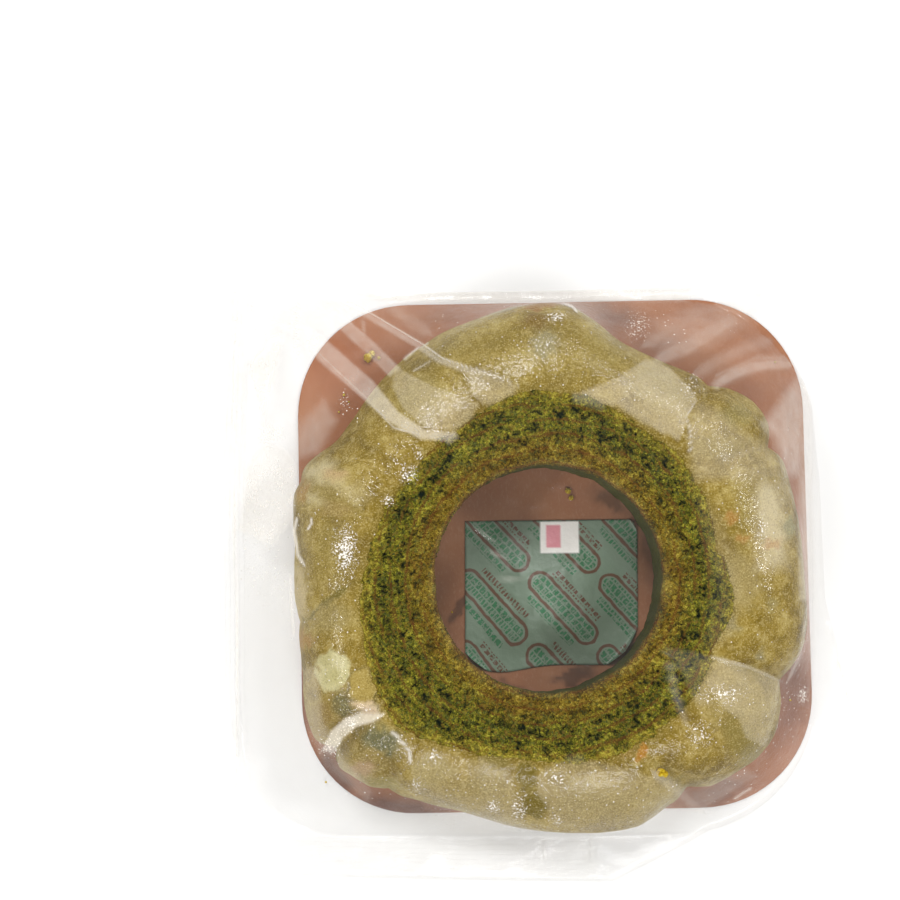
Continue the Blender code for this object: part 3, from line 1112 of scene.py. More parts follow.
@dataclass(frozen=True)
class FilmMarks:
    """Where the photograph shows the film folded, standing off and crushed, with its sheen, highlights and
    glints, which are painted on as white.
    """

    streaks: tuple[Streak, ...] = tuple(Streak(*row) for row in (
        # Folds over the tray's upper left corner, which run on over the cake.
        (((285, 319), (320, 349), (370, 395), (396, 424), (456, 437)), 22, 0.06, 0.4),
        (((283, 322), (318, 353), (367, 399), (394, 428), (450, 442)), 4, 0.32, 0.1),
        (((322, 301), (352, 329), (370, 347), (394, 371)), 16, 0.05, 0.4),
        (((326, 300), (356, 328), (374, 346), (398, 369)), 3.5, 0.26, 0.1),
        (((363, 316), (364, 338), (377, 356)), 5, 0.2, 0.1),
        (((341, 303), (368, 316), (420, 347), (438, 360), (469, 371), (482, 372), (521, 386)), 10, 0.22, 0.3),
        (((345, 301), (372, 314), (424, 345), (442, 358), (473, 369), (485, 370)), 3.5, 0.4, 0.1),
        (((386, 303), (432, 336)), 22, 0.1, 0.2), (((403, 361), (417, 349), (431, 342)), 3.5, 0.4, 0.1),
        (((412, 372), (432, 360)), 3.5, 0.22, 0.1), (((374, 417), (388, 409)), 3.5, 0.22, 0.1),
        (((296.5, 278), (296.5, 363)), 4, 0.4, 0.3), (((244, 285), (262, 318), (287, 327)), 5, 0.4, 0.3),
        (((244, 285), (256, 330), (267, 336)), 5, 0.4, 0.3),
        (((235, 290), (234, 480), (237, 640), (236, 800)), 5, 0.35, 0.2),
        # Left rim of the cake.
        (((298, 514), (294, 531), (298, 555), (306, 568)), 5.5, 0.6, 0.2),
        (((312, 517), (311, 524), (307, 531)), 4, 0.6, 0.2),
        (((290, 570), (291, 600), (294, 640)), 5, 0.3, 0.2),
        # Upper right.
        (((762, 304), (745, 317), (712, 336), (655, 358)), 34, 0.1, 0.2),
        (((798, 362), (758, 363), (711, 384)), 28, 0.1, 0.2),
        (((640, 348), (668, 332), (700, 314), (735, 302)), 24, 0.12, 0.1),
        (((690, 378), (717, 362), (747, 347), (778, 338)), 22, 0.1, 0.1),
        (((792, 358), (756, 358), (714, 376)), 4, 0.16, 0.1),
        (((697, 399), (686, 417), (690, 428), (691, 456)), 4.5, 0.3, 0.2),
        (((761, 449), (730, 456), (712, 457)), 8, 0.12, 0.2),
        (((562, 303), (572, 306), (578, 313)), 4.5, 0.6, 0.2),
        # Right.
        (((804, 378), (806, 480), (804, 600)), 12, 0.14, 0.2),
        (((808, 600), (800, 655), (786, 684)), 7, 0.2, 0.2),
        # Lower right.
        (((782, 682), (750, 668), (712, 657)), 7, 0.2, 0.3),
        (((706, 814), (674, 788), (651, 770)), 22, 0.16, 0.3),
        (((668, 652), (674, 690), (688, 728)), 12, 0.1, 0.1),
        (((733, 800), (744, 792), (753, 787)), 5, 0.35, 0.2),
        (((836, 653), (846, 690), (857, 722)), 5, 0.4, 0.3),
        (((832, 714), (846, 716), (857, 722)), 5, 0.4, 0.3),
        # Lower left clefts.
        (((320, 752), (331, 741), (345, 729), (358, 716), (384, 714)), 15, 0.3, 0.3),
        (((390, 730), (399, 739), (409, 750), (411, 766)), 6, 0.55, 0.2),
        # Across the hole and the crumb, and the lower seal's seam.
        (((480, 524), (501, 562), (516, 588), (527, 605)), 6, 0.12, 0.15),
        (((544, 835), (544, 863)), 4, 0.2, 0.1), (((590, 835), (590, 863)), 4, 0.2, 0.1),
    ))
    veils: tuple[Veil, ...] = tuple(Veil(*row) for row in (
        # Upper left film over the margin.
        (((285, 322), (297, 315), (330, 343), (372, 380), (398, 412), (425, 430), (456, 433), (452, 441),
          (420, 439), (388, 421), (362, 398), (320, 362)), 0.24, 3),
        (((318, 303), (328, 300), (352, 324), (372, 340), (400, 368), (390, 377), (366, 353),
          (345, 334)), 0.2, 3),
        (((298, 380), (330, 350), (360, 345), (400, 330), (395, 350), (350, 400), (310, 440),
          (297, 450)), 0.03, 20),
        (((247, 365), (267, 336), (285, 329), (263, 426)), 0.3, 5),
        (((224, 280), (243, 284), (246, 360), (240, 470), (230, 520), (222, 500)), 0.2, 6),
        (((297, 280), (340, 298), (330, 330), (300, 330)), 0.15, 8),
        (((262, 290), (294, 282), (294, 330), (270, 325)), 0.22, 4),
        (((238, 530), (247, 467), (265, 443), (285, 449), (296, 462), (293, 520), (270, 545)), 0.25, 5),
        (((298, 424), (324, 400), (336, 420), (318, 452), (297, 458)), 0.16, 10),
        # Over the glaze, upper left.
        (((396, 367), (432, 386), (480, 404), (469, 420), (451, 431), (423, 426), (403, 408),
          (392, 386)), 0.09, 2),
        (((465, 372), (482, 372), (503, 383), (522, 386), (498, 403), (483, 405), (475, 397),
          (470, 382)), 0.09, 2),
        # Upper right.
        (((730, 312), (743, 320), (717, 337), (687, 355), (663, 363), (653, 361), (660, 352),
          (690, 335)), 0.16, 5),
        (((797, 362), (790, 368), (763, 370), (737, 378), (717, 389), (711, 385), (727, 371), (750, 362),
          (777, 359)), 0.2, 4),
        (((764, 424), (776, 440), (786, 474), (801, 476), (807, 400), (797, 380), (784, 396)), 0.24, 12),
        (((646, 359), (617, 378), (570, 397), (577, 402), (617, 406), (656, 430), (680, 440), (691, 406),
          (698, 401), (691, 389), (670, 368), (656, 361)), 0.12, 2),
        (((696, 402), (687, 425), (694, 480), (784, 480), (773, 452), (742, 430), (715, 408)), 0.07, 10),
        (((700, 304), (765, 290), (755, 318), (700, 345), (660, 350), (655, 322)), 0.1, 12),
        (((756, 480), (787, 480), (790, 569), (756, 569)), 0.09, 14),
        (((799, 378), (811, 378), (812, 600), (800, 600)), 0.18, 6),
        # Lower right.
        (((718, 658), (781, 683), (774, 719), (766, 747), (746, 738), (739, 719), (728, 712),
          (704, 682)), 0.085, 2),
        (((665, 648), (690, 651), (718, 658), (704, 682), (712, 704), (698, 708), (684, 676)), 0.045, 4),
        (((690, 792), (745, 768), (757, 776), (700, 812)), 0.12, 5),
        # Lower left, where the film bridges the cleft in a crinkled white strip.
        (((322, 749), (331, 731), (346, 718), (362, 713), (385, 714), (373, 722), (357, 726), (343, 738),
          (333, 755)), 0.42, 3),
        (((303, 667), (318, 668), (322, 722), (345, 760), (372, 790), (368, 802), (325, 767),
          (306, 725)), 0.1, 6),
        (((359, 705), (379, 705), (379, 720), (359, 720)), 0.15, 5),
        # Along the lower edge of the cake.
        (((421, 750), (448, 753), (478, 762), (480, 819), (448, 807), (415, 793), (411, 767)), 0.035, 3),
        (((478, 757), (495, 765), (513, 777), (518, 823), (503, 827), (479, 819)), 0.05, 2),
        (((541, 770), (575, 758), (614, 766), (652, 777), (682, 785), (709, 794), (678, 808), (633, 823),
          (587, 831), (549, 827), (549, 812), (537, 794)), 0.05, 2),
        # The left, lower and upper margins.
        (((222, 560), (290, 575), (296, 700), (310, 780), (380, 838), (235, 838)), 0.04, 12),
        (((235, 838), (598, 838), (600, 882), (232, 880)), 0.08, 5),
        (((300, 287), (690, 289), (690, 301), (420, 302), (380, 300)), 0.22, 4),
        # The film's painted reflection over the crumb's upper half, and a band of it at the crumb's right
        # edge.
        (((430, 470), (470, 415), (540, 396), (620, 405), (668, 440), (690, 480), (640, 490), (560, 462),
          (480, 480)), 0.004, 26),
        (((695, 490), (722, 520), (738, 580), (728, 640), (706, 650), (716, 590), (705, 540)), 0.03, 12),
    ))
    # Crushed patches, which get painted glints: the middle, half the width and height, strength.
    frosts: tuple[tuple[float, ...], ...] = (
        (345.25, 551.25, 10, 23, 1.0), (407.5, 474, 8.5, 8, 0.8), (418.5, 453.5, 2.5, 5.5, 0.8),
        (388, 501, 4, 5, 0.8), (269, 433, 13, 8.5, 0.8), (346.5, 401, 7.5, 11, 0.25),
        (556.5, 316.5, 10.5, 4.5, 0.8), (545, 343, 15, 8, 0.4), (692, 388, 12, 14, 0.4),
        (637, 326, 11, 14, 0.42), (762, 529, 3, 11, 0.8), (700.5, 734.5, 10.5, 10.5, 0.6),
        (720.5, 694.75, 22.5, 8.5, 0.6), (434, 756, 6, 6, 0.8), (415.5, 784.5, 8.5, 9.5, 0.5),
        (557.5, 779.5, 15.5, 9.5, 0.55), (519.5, 808.5, 6.5, 16.5, 0.7), (493.5, 806, 5.5, 7, 0.7),
        (557.5, 820.5, 3.5, 4.5, 0.7), (803, 695, 5, 7, 0.8), (331, 746, 13, 10, 0.5),
        (350, 725, 12, 11, 0.45), (403.5, 748, 9, 16, 0.25),
    )
    sparkles: tuple[Veil, ...] = tuple(Veil(*row) for row in (
        # The flank: bottom, lower left, lower right, right, top, upper left, left.
        (((430, 745), (650, 745), (650, 830), (430, 830)), 0.2, 8),
        (((300, 640), (430, 640), (430, 800), (320, 800)), 0.1, 8),
        (((650, 700), (790, 700), (770, 790), (650, 790)), 0.09, 8),
        (((700, 450), (790, 450), (790, 660), (700, 660)), 0.07, 8),
        (((430, 310), (640, 310), (640, 400), (430, 400)), 0.07, 8),
        (((340, 390), (450, 390), (450, 470), (340, 470)), 0.07, 8),
        (((290, 480), (380, 480), (380, 640), (290, 640)), 0.07, 8),
        # The film beside the cake.
        (((241, 500), (285, 480), (288, 621), (244, 600)), 0.3, 14),
        (((790, 640), (812, 640), (812, 712), (785, 766), (739, 802), (700, 806), (760, 740),
          (785, 690)), 0.22, 6),
        (((600, 306), (680, 312), (690, 345), (640, 345)), 0.14, 8),
    ))
    # How full a crushed patch is in its middle, and how fast it fades outwards.
    crushed_core: float = 1.25
    crushed_fall: float = 0.85

    @staticmethod
    def spread(patches: Sequence[Veil], pixels: np.ndarray) -> np.ndarray:
        """How strong even patches are at each pixel place."""
        cover = np.zeros(pixels.shape[:-1])
        for patch in patches:
            cover = np.maximum(cover, patch.strength * inside(pixels, patch.outline, patch.feather))
        return cover

    def folds(self, pixels: np.ndarray) -> tuple[np.ndarray, np.ndarray]:
        """How strong the painted highlights on the film's folds are, and how high the folds are.

        Args:
            pixels: where each point shows in the photograph.

        Returns:
            The painted highlights' strength, and the height in millimetres.
        """
        cover, lift = np.zeros(pixels.shape[:-1]), np.zeros(pixels.shape[:-1])
        for streak in self.streaks:
            near = along(pixels, streak.path, streak.width)
            soft = near * near * (3 - 2 * near)
            cover = np.maximum(cover, streak.strength * soft)
            lift = np.maximum(lift, streak.lift * soft)
        return cover, lift

    def crushed(self, pixels: np.ndarray) -> np.ndarray:
        """How crushed the film is at each pixel place: each patch fades out from its middle."""
        cover = np.zeros(pixels.shape[:-1])
        for x, y, half_wide, half_high, strength in self.frosts:
            away = (pixels - np.array([x, y])) / np.array([half_wide + 1, half_high + 1])
            reach = np.linalg.norm(away, axis=-1)
            fading = np.clip(self.crushed_core - self.crushed_fall * reach, 0, 1)
            cover = np.maximum(cover, strength * fading)
        return cover


@dataclass
class CakeRing:
    """The cake: a cut ring of sponge with a lobed flank under a thin glaze."""

    form: PackForm
    view: PhotoView
    marks: FilmMarks
    film_gap: float = 0.3
    glaze_thick: float = 1.1
    bottom: float = 1.42
    foot_radius: float = 66.0
    cut_wander: float = 0.8
    cut_tatter: float = 0.7
    tuck: float = 2.8
    # How many times deeper than the film the glaze dips into a cleft, and how it draws in below its nose.
    cleft_share: float = 1.7
    undercut: float = 2.2
    # How far the glaze's upper edge lies below the cut, and over what distance that dies out.
    edge_drop: float = 0.75
    edge_reach: float = 0.7
    # The glaze's broad dents and small blisters: size, depth.
    dents: Point = (13.0, 0.9)
    blisters: Point = (4.2, 0.28)
    # How strongly the film's sheen patches are painted onto the glaze as paler colour, and how strongly its
    # torn edge shows.
    dry_share: float = 1.7
    rim_share: float = 0.9
    # How far the sponge stays behind the glaze's back, and how far the hole's line wavers.
    clearance: float = 0.35
    hole_waver: float = 0.35
    # The rounding at the hole's rim: how wide, how deep. Then how steeply the sponge dips under the glaze.
    rim_round: Point = (1.2, 0.8)
    tuck_slope: float = 0.62
    # The width of the glaze's torn edge, how much that varies, and how fast it fades.
    rim_band: Point = (3.0, 2.0)
    rim_fade: float = 1.3
    # How much farther than the glaze the cut stays under the film, and how far the glaze ends above the tray.
    cut_gap: float = 0.05
    skirt_gap: float = 0.3
    # The sponge's hidden wall: how many skins inside the glaze it stands above and below this height.
    wall_skins: Point = (1.6, 2.2)
    wall_height: float = 12.0
    least_wall: float = 4.0
    # Over how many millimetres the sponge gets drier towards the glaze, and how dry it gets.
    lip_width: float = 4.0
    lip_most: float = 0.9
    # How open the sponge is in the hole's wall, and how dark that wall is at most.
    bore_open: float = 0.35
    bore_shade: float = 0.7
    # How much wider the hole is at the tray than at the cut.
    flare: float = 1.3
    # Notches between lobes that the taut film bridges: degree, half width in degrees, depth.
    notches: tuple[Three, ...] = (
        (30.5, 4.5, 3.2), (49.7, 4.0, 1.6), (218.6, 4.0, 4.2), (233.0, 4.0, 1.6), (158.2, 4.0, 1.0),
        (189.9, 4.0, 1.0), (336.5, 4.0, 1.6), (304.1, 4.5, 2.2),
    )
    # Where the glaze has run in over the cut: degree, half width in degrees, how far.
    creeps: tuple[Three, ...] = ((352.0, 26.0, 4.2), (205.0, 18.0, 1.6), (60.0, 14.0, 1.2))
    # The patches' colours are the photograph's, and this is what its light adds to them.
    stain_shade: float = 0.8
    crumb_around: int = 800
    glaze_around: int = 720
    stains: tuple[Stain, ...] = tuple(Stain(*row) for row in (
        # Upper left and left.
        ((322, 484), (26, 24), "#d8c99c", 0.85, -30, 0.3), ((337, 475), (12, 8), "#d6b080", 0.7),
        ((345, 492), (24, 14), "#cdbb85", 0.7, 20), ((334, 499), (36, 8), "#9a853c", 0.8, 30),
        ((302, 492), (6, 14), "#ab7f34", 0.85, 10), ((333, 512), (16, 8), "#b79a68", 0.6),
        ((299, 594), (10, 30), "#d8c496", 0.9), ((328, 601), (31, 4), "#6f6420", 0.95, -40, 0.3),
        ((333, 617), (20, 16), "#a79764", 0.7), ((302, 640), (10, 10), "#b98142", 0.7),
        ((330, 548), (18, 24), "#9a8a4a", 0.55), ((328, 556), (26, 50), "#8f7c3a", 0.45, 0, 0.6),
        # Lower left lobes.
        ((333, 671), (17, 21), "#ddd5a2", 0.95, 0, 0.1), ((337, 677), (12, 10), "#c4bb7e", 0.8, 20, 0.4),
        ((326, 660), (5, 8), "#b8ae70", 0.6, 10, 0.4), ((342, 704), (11, 13), "#66633e", 0.9),
        ((320, 722), (15, 24), "#8f7338", 0.85, 15), ((363, 688), (17, 21), "#5d5026", 0.85, 6, 0.1),
        ((363, 687), (13.5, 17.5), "#b79f54", 1.0, 6, 0.1), ((366, 707), (14, 4), "#ecd0a6", 1.0, 8, 0.25),
        ((369, 714), (10, 6), "#d9ad84", 0.8), ((382, 740), (25, 15), "#5a6048", 0.9, 25),
        ((372, 758), (22, 9), "#96804a", 0.6, 20), ((363, 771), (14, 12), "#bb9a78", 0.85),
        ((341, 760), (7, 22), "#8a7434", 0.85, 20), ((382, 784), (24, 9), "#8f843f", 0.75, 10),
        ((430, 770), (22, 20), "#a99a63", 0.6),
        # Top.
        ((540, 352), (110, 36), "#8c7936", 0.45, 0, 0.6), ((535, 321), (17, 9), "#86692a", 0.95, 0, 0.4),
        ((538, 305), (25, 5), "#a06c30", 0.85), ((545, 344), (17, 15), "#a49f80", 0.75),
        ((470, 350), (46, 20), "#a08d4e", 0.5, -20), ((600, 352), (30, 22), "#a5924f", 0.6, 25),
        ((420, 400), (34, 22), "#b0a066", 0.55, -40),
        # Upper right and right.
        ((737, 414), (17, 13), "#938e5c", 0.5, 20), ((655, 386), (34, 18), "#b7a878", 0.6, 30),
        # The tall pale cream patch on the right lobe is painted sheen.
        ((716, 446), (26, 10), "#9a8544", 0.7), ((771, 522), (14, 46), "#dccda4", 0.85, -10, 0.4),
        ((745, 500), (12, 26), "#99884c", 0.6, -10, 0.4), ((732, 517), (7, 8), "#b9813f", 0.8),
        ((744, 537), (8, 6), "#bb8644", 0.8), ((772, 543), (9, 6), "#c18a48", 0.75),
        ((789, 526), (6, 13), "#8b8d6c", 0.8), ((772, 606), (8, 7), "#8f8760", 0.6),
        ((732, 625), (7, 9), "#948b6a", 0.75), ((762, 656), (7, 8), "#8f886c", 0.75),
        ((741, 580), (20, 34), "#b7a679", 0.6),
        # Lower right and bottom.
        ((560, 800), (120, 26), "#87733a", 0.7, 0, 0.5), ((735, 700), (40, 30), "#ad9b68", 0.55, 35),
        ((747, 670), (40, 5), "#8d7c3e", 0.75, 20), ((674, 780), (30, 6), "#8b7a3a", 0.75, 35),
        ((640, 800), (34, 14), "#98864e", 0.55), ((527, 780), (12, 17), "#79681f", 1.0, 0, 0.2),
        ((535, 806), (14, 15), "#79681f", 1.0, -20, 0.2), ((497, 762), (18, 7), "#7f6e26", 0.9, 15, 0.25),
        ((742, 742), (15, 32), "#87762f", 0.8, -32, 0.3), ((490, 780), (22, 24), "#9f8f58", 0.6),
        ((585, 800), (26, 20), "#93824a", 0.6), ((642, 753), (4, 9), "#bb7d24", 0.9, 18, 0.15),
        ((627, 750), (11, 8), "#8f6420", 0.6, -20),
    ))

    def cut_line(self, degrees: float) -> float:
        """Where the cut crumb meets the glaze, a little ragged."""
        smooth = self.form.round_curve(self.form.cut_reach, degrees)
        broad = self.cut_wander * round_noise(degrees, 9.0, 3.7, 2)
        crept = 0.0
        for middle, half_width, reach in self.creeps:
            off = abs((degrees - middle + 180) % 360 - 180) / half_width
            crept += reach * max(0.0, 1 - off * off)
        return smooth - crept + broad + self.cut_tatter * round_noise(degrees, 34.0, 6.1, 3)

    def notch(self, degrees: float) -> float:
        """How far the flank draws in between two lobes."""
        deep = 0.0
        for middle, half_width, depth in self.notches:
            deep += depth * max(0.0, 1 - abs(degrees - middle) / half_width) ** 1.5
        return deep

    def relief(self, degrees: float, radius: float, height: float) -> float:
        """How far the glaze's surface lies inside its smooth form, for its dents and shallow blisters."""
        x, y, z = self.form.place(degrees, radius, height)
        (wide, deep), (small, shallow) = self.dents, self.blisters
        broad = 0.5 + 0.5 * ripple(x / wide, y / wide, z / wide, 2)
        fine = 0.5 + 0.5 * ripple(x / small + 30, y / small, z / small, 2)
        return deep * broad**2 + shallow * fine

    @staticmethod
    def slope(line: Sequence[Point], at: int, span: int) -> Three:
        """How far a line runs out and falls about one of its points.

        Args:
            line: radius and height of its points.
            at: the point's number.
            span: how many points before and after it are looked at.

        Returns:
            The run, the fall, and the length of both together.
        """
        before, after = line[max(at - span, 0)], line[min(at + span, len(line) - 1)]
        run, fall = after[0] - before[0], before[1] - after[1]
        return run, fall, math.hypot(run, fall) or 1.0

    def outer_profile(self, spoke: Spoke, steps_above: int, steps_below: int) -> list[Point]:
        """The glaze's outer line along one spoke.

        Args:
            spoke: the direction.
            steps_above: points from the cut down to the nose.
            steps_below: points from the nose down to the tray.

        Returns:
            Radius and height of each, always inside the film.
        """
        form = self.form
        start = self.cut_line(spoke.degrees)
        nose = spoke.nose - self.notch(spoke.degrees)
        line: list[Point] = []
        for k in range(steps_above + 1):
            share = math.sin(math.pi / 2 * k / steps_above)
            dip = self.cleft_share * form.cleft(spoke.degrees, share)
            height = form.flank_height(share) - dip - self.film_gap
            edge = self.edge_drop * math.exp(-(nose - start) * share / self.edge_reach)
            line.append((start + (nose - start) * share, height - edge))
        for k in range(1, steps_below + 1):
            drop = k / steps_below
            radius = nose + (self.foot_radius - nose) * drop**self.undercut
            end = self.bottom + self.skirt_gap
            line.append((radius, form.nose_height - self.film_gap + (end - form.nose_height) * drop))
        shaped: list[Point] = []
        for k, (radius, height) in enumerate(line):
            run, fall, size = self.slope(line, k, 1)
            deep = self.relief(spoke.degrees, radius, height) * min(1.0, k / 6)
            radius -= deep * fall / size
            height -= deep * run / size
            if height < spoke.leave_height:
                radius = min(radius, form.film_radius(spoke, height) - self.film_gap)
            shaped.append((radius, height))
        return shaped

    def build_glaze(self) -> None:
        """Makes the glaze: a thin closed shell down the flank, with its stains."""
        above, below, inner = 48, 22, 18
        thick = self.glaze_thick
        columns, rims = [], []
        for spoke in self.form.spokes(self.glaze_around):
            outer = self.outer_profile(spoke, above, below)
            back: list[Point] = []
            last = len(outer) - 1
            for k in range(inner, 0, -1):
                at = round(last * (k - 0.5) / inner)
                run, fall, size = self.slope(outer, at, 2)
                radius, height = outer[at]
                back.append((radius - thick * fall / size, height - thick * run / size))
            line = outer + back
            columns.append([
                self.form.place(spoke.degrees, radius, max(height, self.bottom)) for radius, height in line
            ])
            band = self.rim_band[0] + self.rim_band[1] * round_noise(spoke.degrees, 8.0, 8.1, 3)
            rims.append([
                max(0.0, 1 - abs(radius - outer[0][0]) / band) ** self.rim_fade if k <= last else 1.0
                for k, (radius, _) in enumerate(line)
            ])
        places = np.array(columns)
        glaze = Skin("sugar_glaze", places)
        pixels = self.view.pixels(places)
        # The glaze's own colours, and painted sheen on its right lobe.
        glaze.store("stain", stain_colours(self.stains, pixels, places, "#a59355", self.stain_shade))
        # Painted sheen: paler glaze under the film's sheen patches.
        glaze.store("dry", self.dry_share * self.marks.spread(self.marks.veils, pixels))
        glaze.store("rim", self.rim_share * np.array(rims))
        finish_piece(glaze.made, SugarGlaze().build())

    def build_crumb(self) -> None:
        """Makes the sponge: a closed ring whose cut face gets pores and rings by Geometry Nodes."""
        top, wall, floor, bore = 60, 15, 4, 22
        columns, opens, walls, lips = [], [], [], []
        hidden = self.glaze_thick + self.clearance
        low = self.bottom
        for spoke in self.form.spokes(self.crumb_around):
            end = self.cut_line(spoke.degrees)
            hole = self.form.hole_radius + self.hole_waver * round_noise(spoke.degrees, 6.0, 12.3, 3)
            line: list[Point] = []
            for k in range(top + 1):
                radius = hole + (end + self.tuck - hole) * k / top
                rounding = self.rim_round[1] * max(0.0, 1 - (radius - hole) / self.rim_round[0]) ** 2
                under = self.tuck_slope * max(0.0, radius - end)
                line.append((radius, self.form.cake_top - self.film_gap - self.cut_gap - rounding - under))
            outer = self.outer_profile(spoke, 12, 6)
            for k in range(1, wall + 1):
                radius, height = outer[min(round(k * (len(outer) - 1) / wall), len(outer) - 1)]
                if height > self.wall_height:
                    inner_wall = max(radius - self.wall_skins[0] * hidden, line[top][0] + 0.05 * k)
                else:
                    inner_wall = max(radius - self.wall_skins[1] * hidden, hole + self.least_wall)
                line.append((inner_wall, max(min(height - hidden, line[-1][1] - 0.02), low)))
            foot = line[-1][0]
            for k in range(1, floor + 1):
                line.append((foot + (hole - foot) * k / (floor + 1), low))
            for k in range(bore):
                share = k / bore
                bulge = 0.25 * round_noise(spoke.degrees, 10.0, 40 + 5 * share, 2) + self.flare * (1 - share)
                line.append((hole + bulge, low + (line[0][1] - low) * share))
            columns.append([self.form.place(spoke.degrees, radius, height) for radius, height in line])
            opens.append([min(1.0, max(0.2, 0.25 + 0.4 * (end - radius))) for radius, _ in line[:top + 1]]
                         + [0.0] * (wall + floor) + [self.bore_open] * bore)
            lips.append([
                self.lip_most * max(0.0, 1 - abs(end - radius) / self.lip_width) for radius, _ in line
            ])
            walls.append([0.0] * (top + 1 + wall + floor)
                         + [self.bore_shade * min(1.0, (bore - k) / 4) for k in range(bore)])
        crumb = Skin("cake_crumb", np.array(columns))
        for name, values in (("open", opens), ("wall", walls), ("lip", lips)):
            crumb.store(name, np.array(values))
        material = GreenTeaCrumb(self.form.hole_centre).build()
        self.open_crumb(crumb.made, material)
        finish_piece(crumb.made, material)
        self.scatter_grains(crumb.made, material)

    def open_crumb(self, crumb: bpy.types.Object, material: bpy.types.Material) -> None:
        """Opens pores in the cut and lifts its baked rings, by Geometry Nodes.

        Args:
            crumb: the smooth ring.
            material: the sponge.
        """
        tree = GeometryTree("crumb_relief", {
            "Centre": (self.form.hole_centre[0] * MM, self.form.hole_centre[1] * MM, 0.0),
            "Pore Spacing": 1.25 * MM, "Pore Depth": 1.3 * MM, "Clump Size": 4.0 * MM,
            "Ring Spacing": 4.4 * MM, "Ring Step": 0.15 * MM,
            "Grain Size": 0.9 * MM, "Grain Depth": 0.6 * MM, "Dense Radius": 41.0 * MM, "Seed": 4.0,
        })
        stored = {"data_type": "FLOAT", "domain": "POINT"}
        rows: list[Row] = [
            ("place", "GeometryNodeInputPosition"),
            ("normal", "GeometryNodeInputNormal"),
            ("open_face", "GeometryNodeInputNamedAttribute", {"data_type": "FLOAT", "Name": "open"}),
            ("away", Kind.VECTOR, "SUBTRACT", ">place", ">in.Centre"),
            ("flat", Kind.VECTOR, "MULTIPLY", ">away", (1, 1, 0)),
            ("radius", Kind.VECTOR, "LENGTH", ">flat"),
            ("wander", Kind.SEEDED, ">in.Seed", ">place", per_mm(13.0), 6.0, 0.62),
            ("warped", Kind.MATH, "MULTIPLY_ADD", ">wander", 6.0 * MM, ">radius.Value"),
            ("turns", Kind.MATH, "DIVIDE", ">warped", ">in.Ring Spacing"),
            ("phase", Kind.MATH, "MULTIPLY", ">turns", 2 * math.pi),
            ("wave", Kind.MATH, "SINE", ">phase"),
            ("broken", Kind.SEEDED, ">in.Seed", ">place", per_mm(8.0), 3.0),
            ("least", Kind.RANGE, ">broken", 0.42, 0.62, 1.0, 0.55),
            ("crest", Kind.RANGE, ">wave", ">least", 1.0, None, 0.9),
            ("pore_scale", Kind.MATH, "DIVIDE", 1.0, ">in.Pore Spacing"),
            ("cells", Kind.SEEDED_CELLS, "F1", ">in.Seed", ">place", ">pore_scale"),
            ("hollow", Kind.RANGE, ">cells", 0.44, 0.3),
            ("bend", Kind.SEEDED, ">in.Seed", ">place", per_mm(2.2), 2.0),
            ("bent", Kind.VECTOR, "MULTIPLY_ADD", ">bend.Color", (2.4 * MM, 2.4 * MM, 2.4 * MM), ">place"),
            ("clump_scale", Kind.MATH, "DIVIDE", 1.0, ">in.Clump Size"),
            ("clumps", Kind.SEEDED_CELLS, "DISTANCE_TO_EDGE", ">in.Seed", ">bent", ">clump_scale"),
            ("crevice", Kind.RANGE, ">clumps", 0.07, 0.015),
            ("opening", Kind.MATH, "MAXIMUM", ">hollow", ">crevice"),
            # Pores gather between the baked rings.
            ("patchy", Kind.SEEDED, ">in.Seed", ">place", per_mm(3.2), 2.0),
            ("between", Kind.MATH, "MULTIPLY_ADD", ">wave", -0.05, ">patchy"),
            ("loose", Kind.RANGE, ">between", 0.53, 0.58),
            ("beyond", Kind.MATH, "SUBTRACT", ">warped", ">in.Dense Radius"),
            ("outward", Kind.RANGE, ">beyond", -1.0 * MM, 4.0 * MM, 0.3, 1.0),
            ("porous", Kind.MATH, "MULTIPLY", ">loose", ">outward"),
            ("pit", Kind.MATH, "MULTIPLY", ">opening", ">porous"),
            ("open_pit", Kind.MATH, "MULTIPLY", ">pit", ">open_face"),
            ("grain_scale", Kind.MATH, "DIVIDE", 1.0, ">in.Grain Size"),
            ("grain", Kind.SEEDED, ">in.Seed", ">place", ">grain_scale", 2.0, 0.6),
            ("pit_drop", Kind.MATH, "MULTIPLY", ">pit", ">in.Pore Depth"),
            ("grain_drop", Kind.MATH, "MULTIPLY_ADD", ">grain", ">in.Grain Depth", ">pit_drop"),
            ("ring_lift", Kind.MATH, "MULTIPLY", ">crest", ">in.Ring Step"),
            ("drop", Kind.MATH, "SUBTRACT", ">ring_lift", ">grain_drop"),
            ("held", Kind.MATH, "MULTIPLY", ">drop", ">open_face"),
            ("shift", Kind.VECTOR, "SCALE", ">normal", {"Scale": ">held"}),
            # The pit attribute tells the material where to paint the pores' shade.
            ("pits", "GeometryNodeStoreNamedAttribute",
             stored | {"Geometry": ">in.Geometry", "Name": "pit", "Value": ">open_pit"}),
            ("layers", "GeometryNodeStoreNamedAttribute",
             stored | {"Geometry": ">pits", "Name": "layer", "Value": ">crest"}),
            ("moved", "GeometryNodeSetPosition", {"Geometry": ">layers", "Offset": ">shift"}),
        ]
        tree.run(crumb, rows, material)

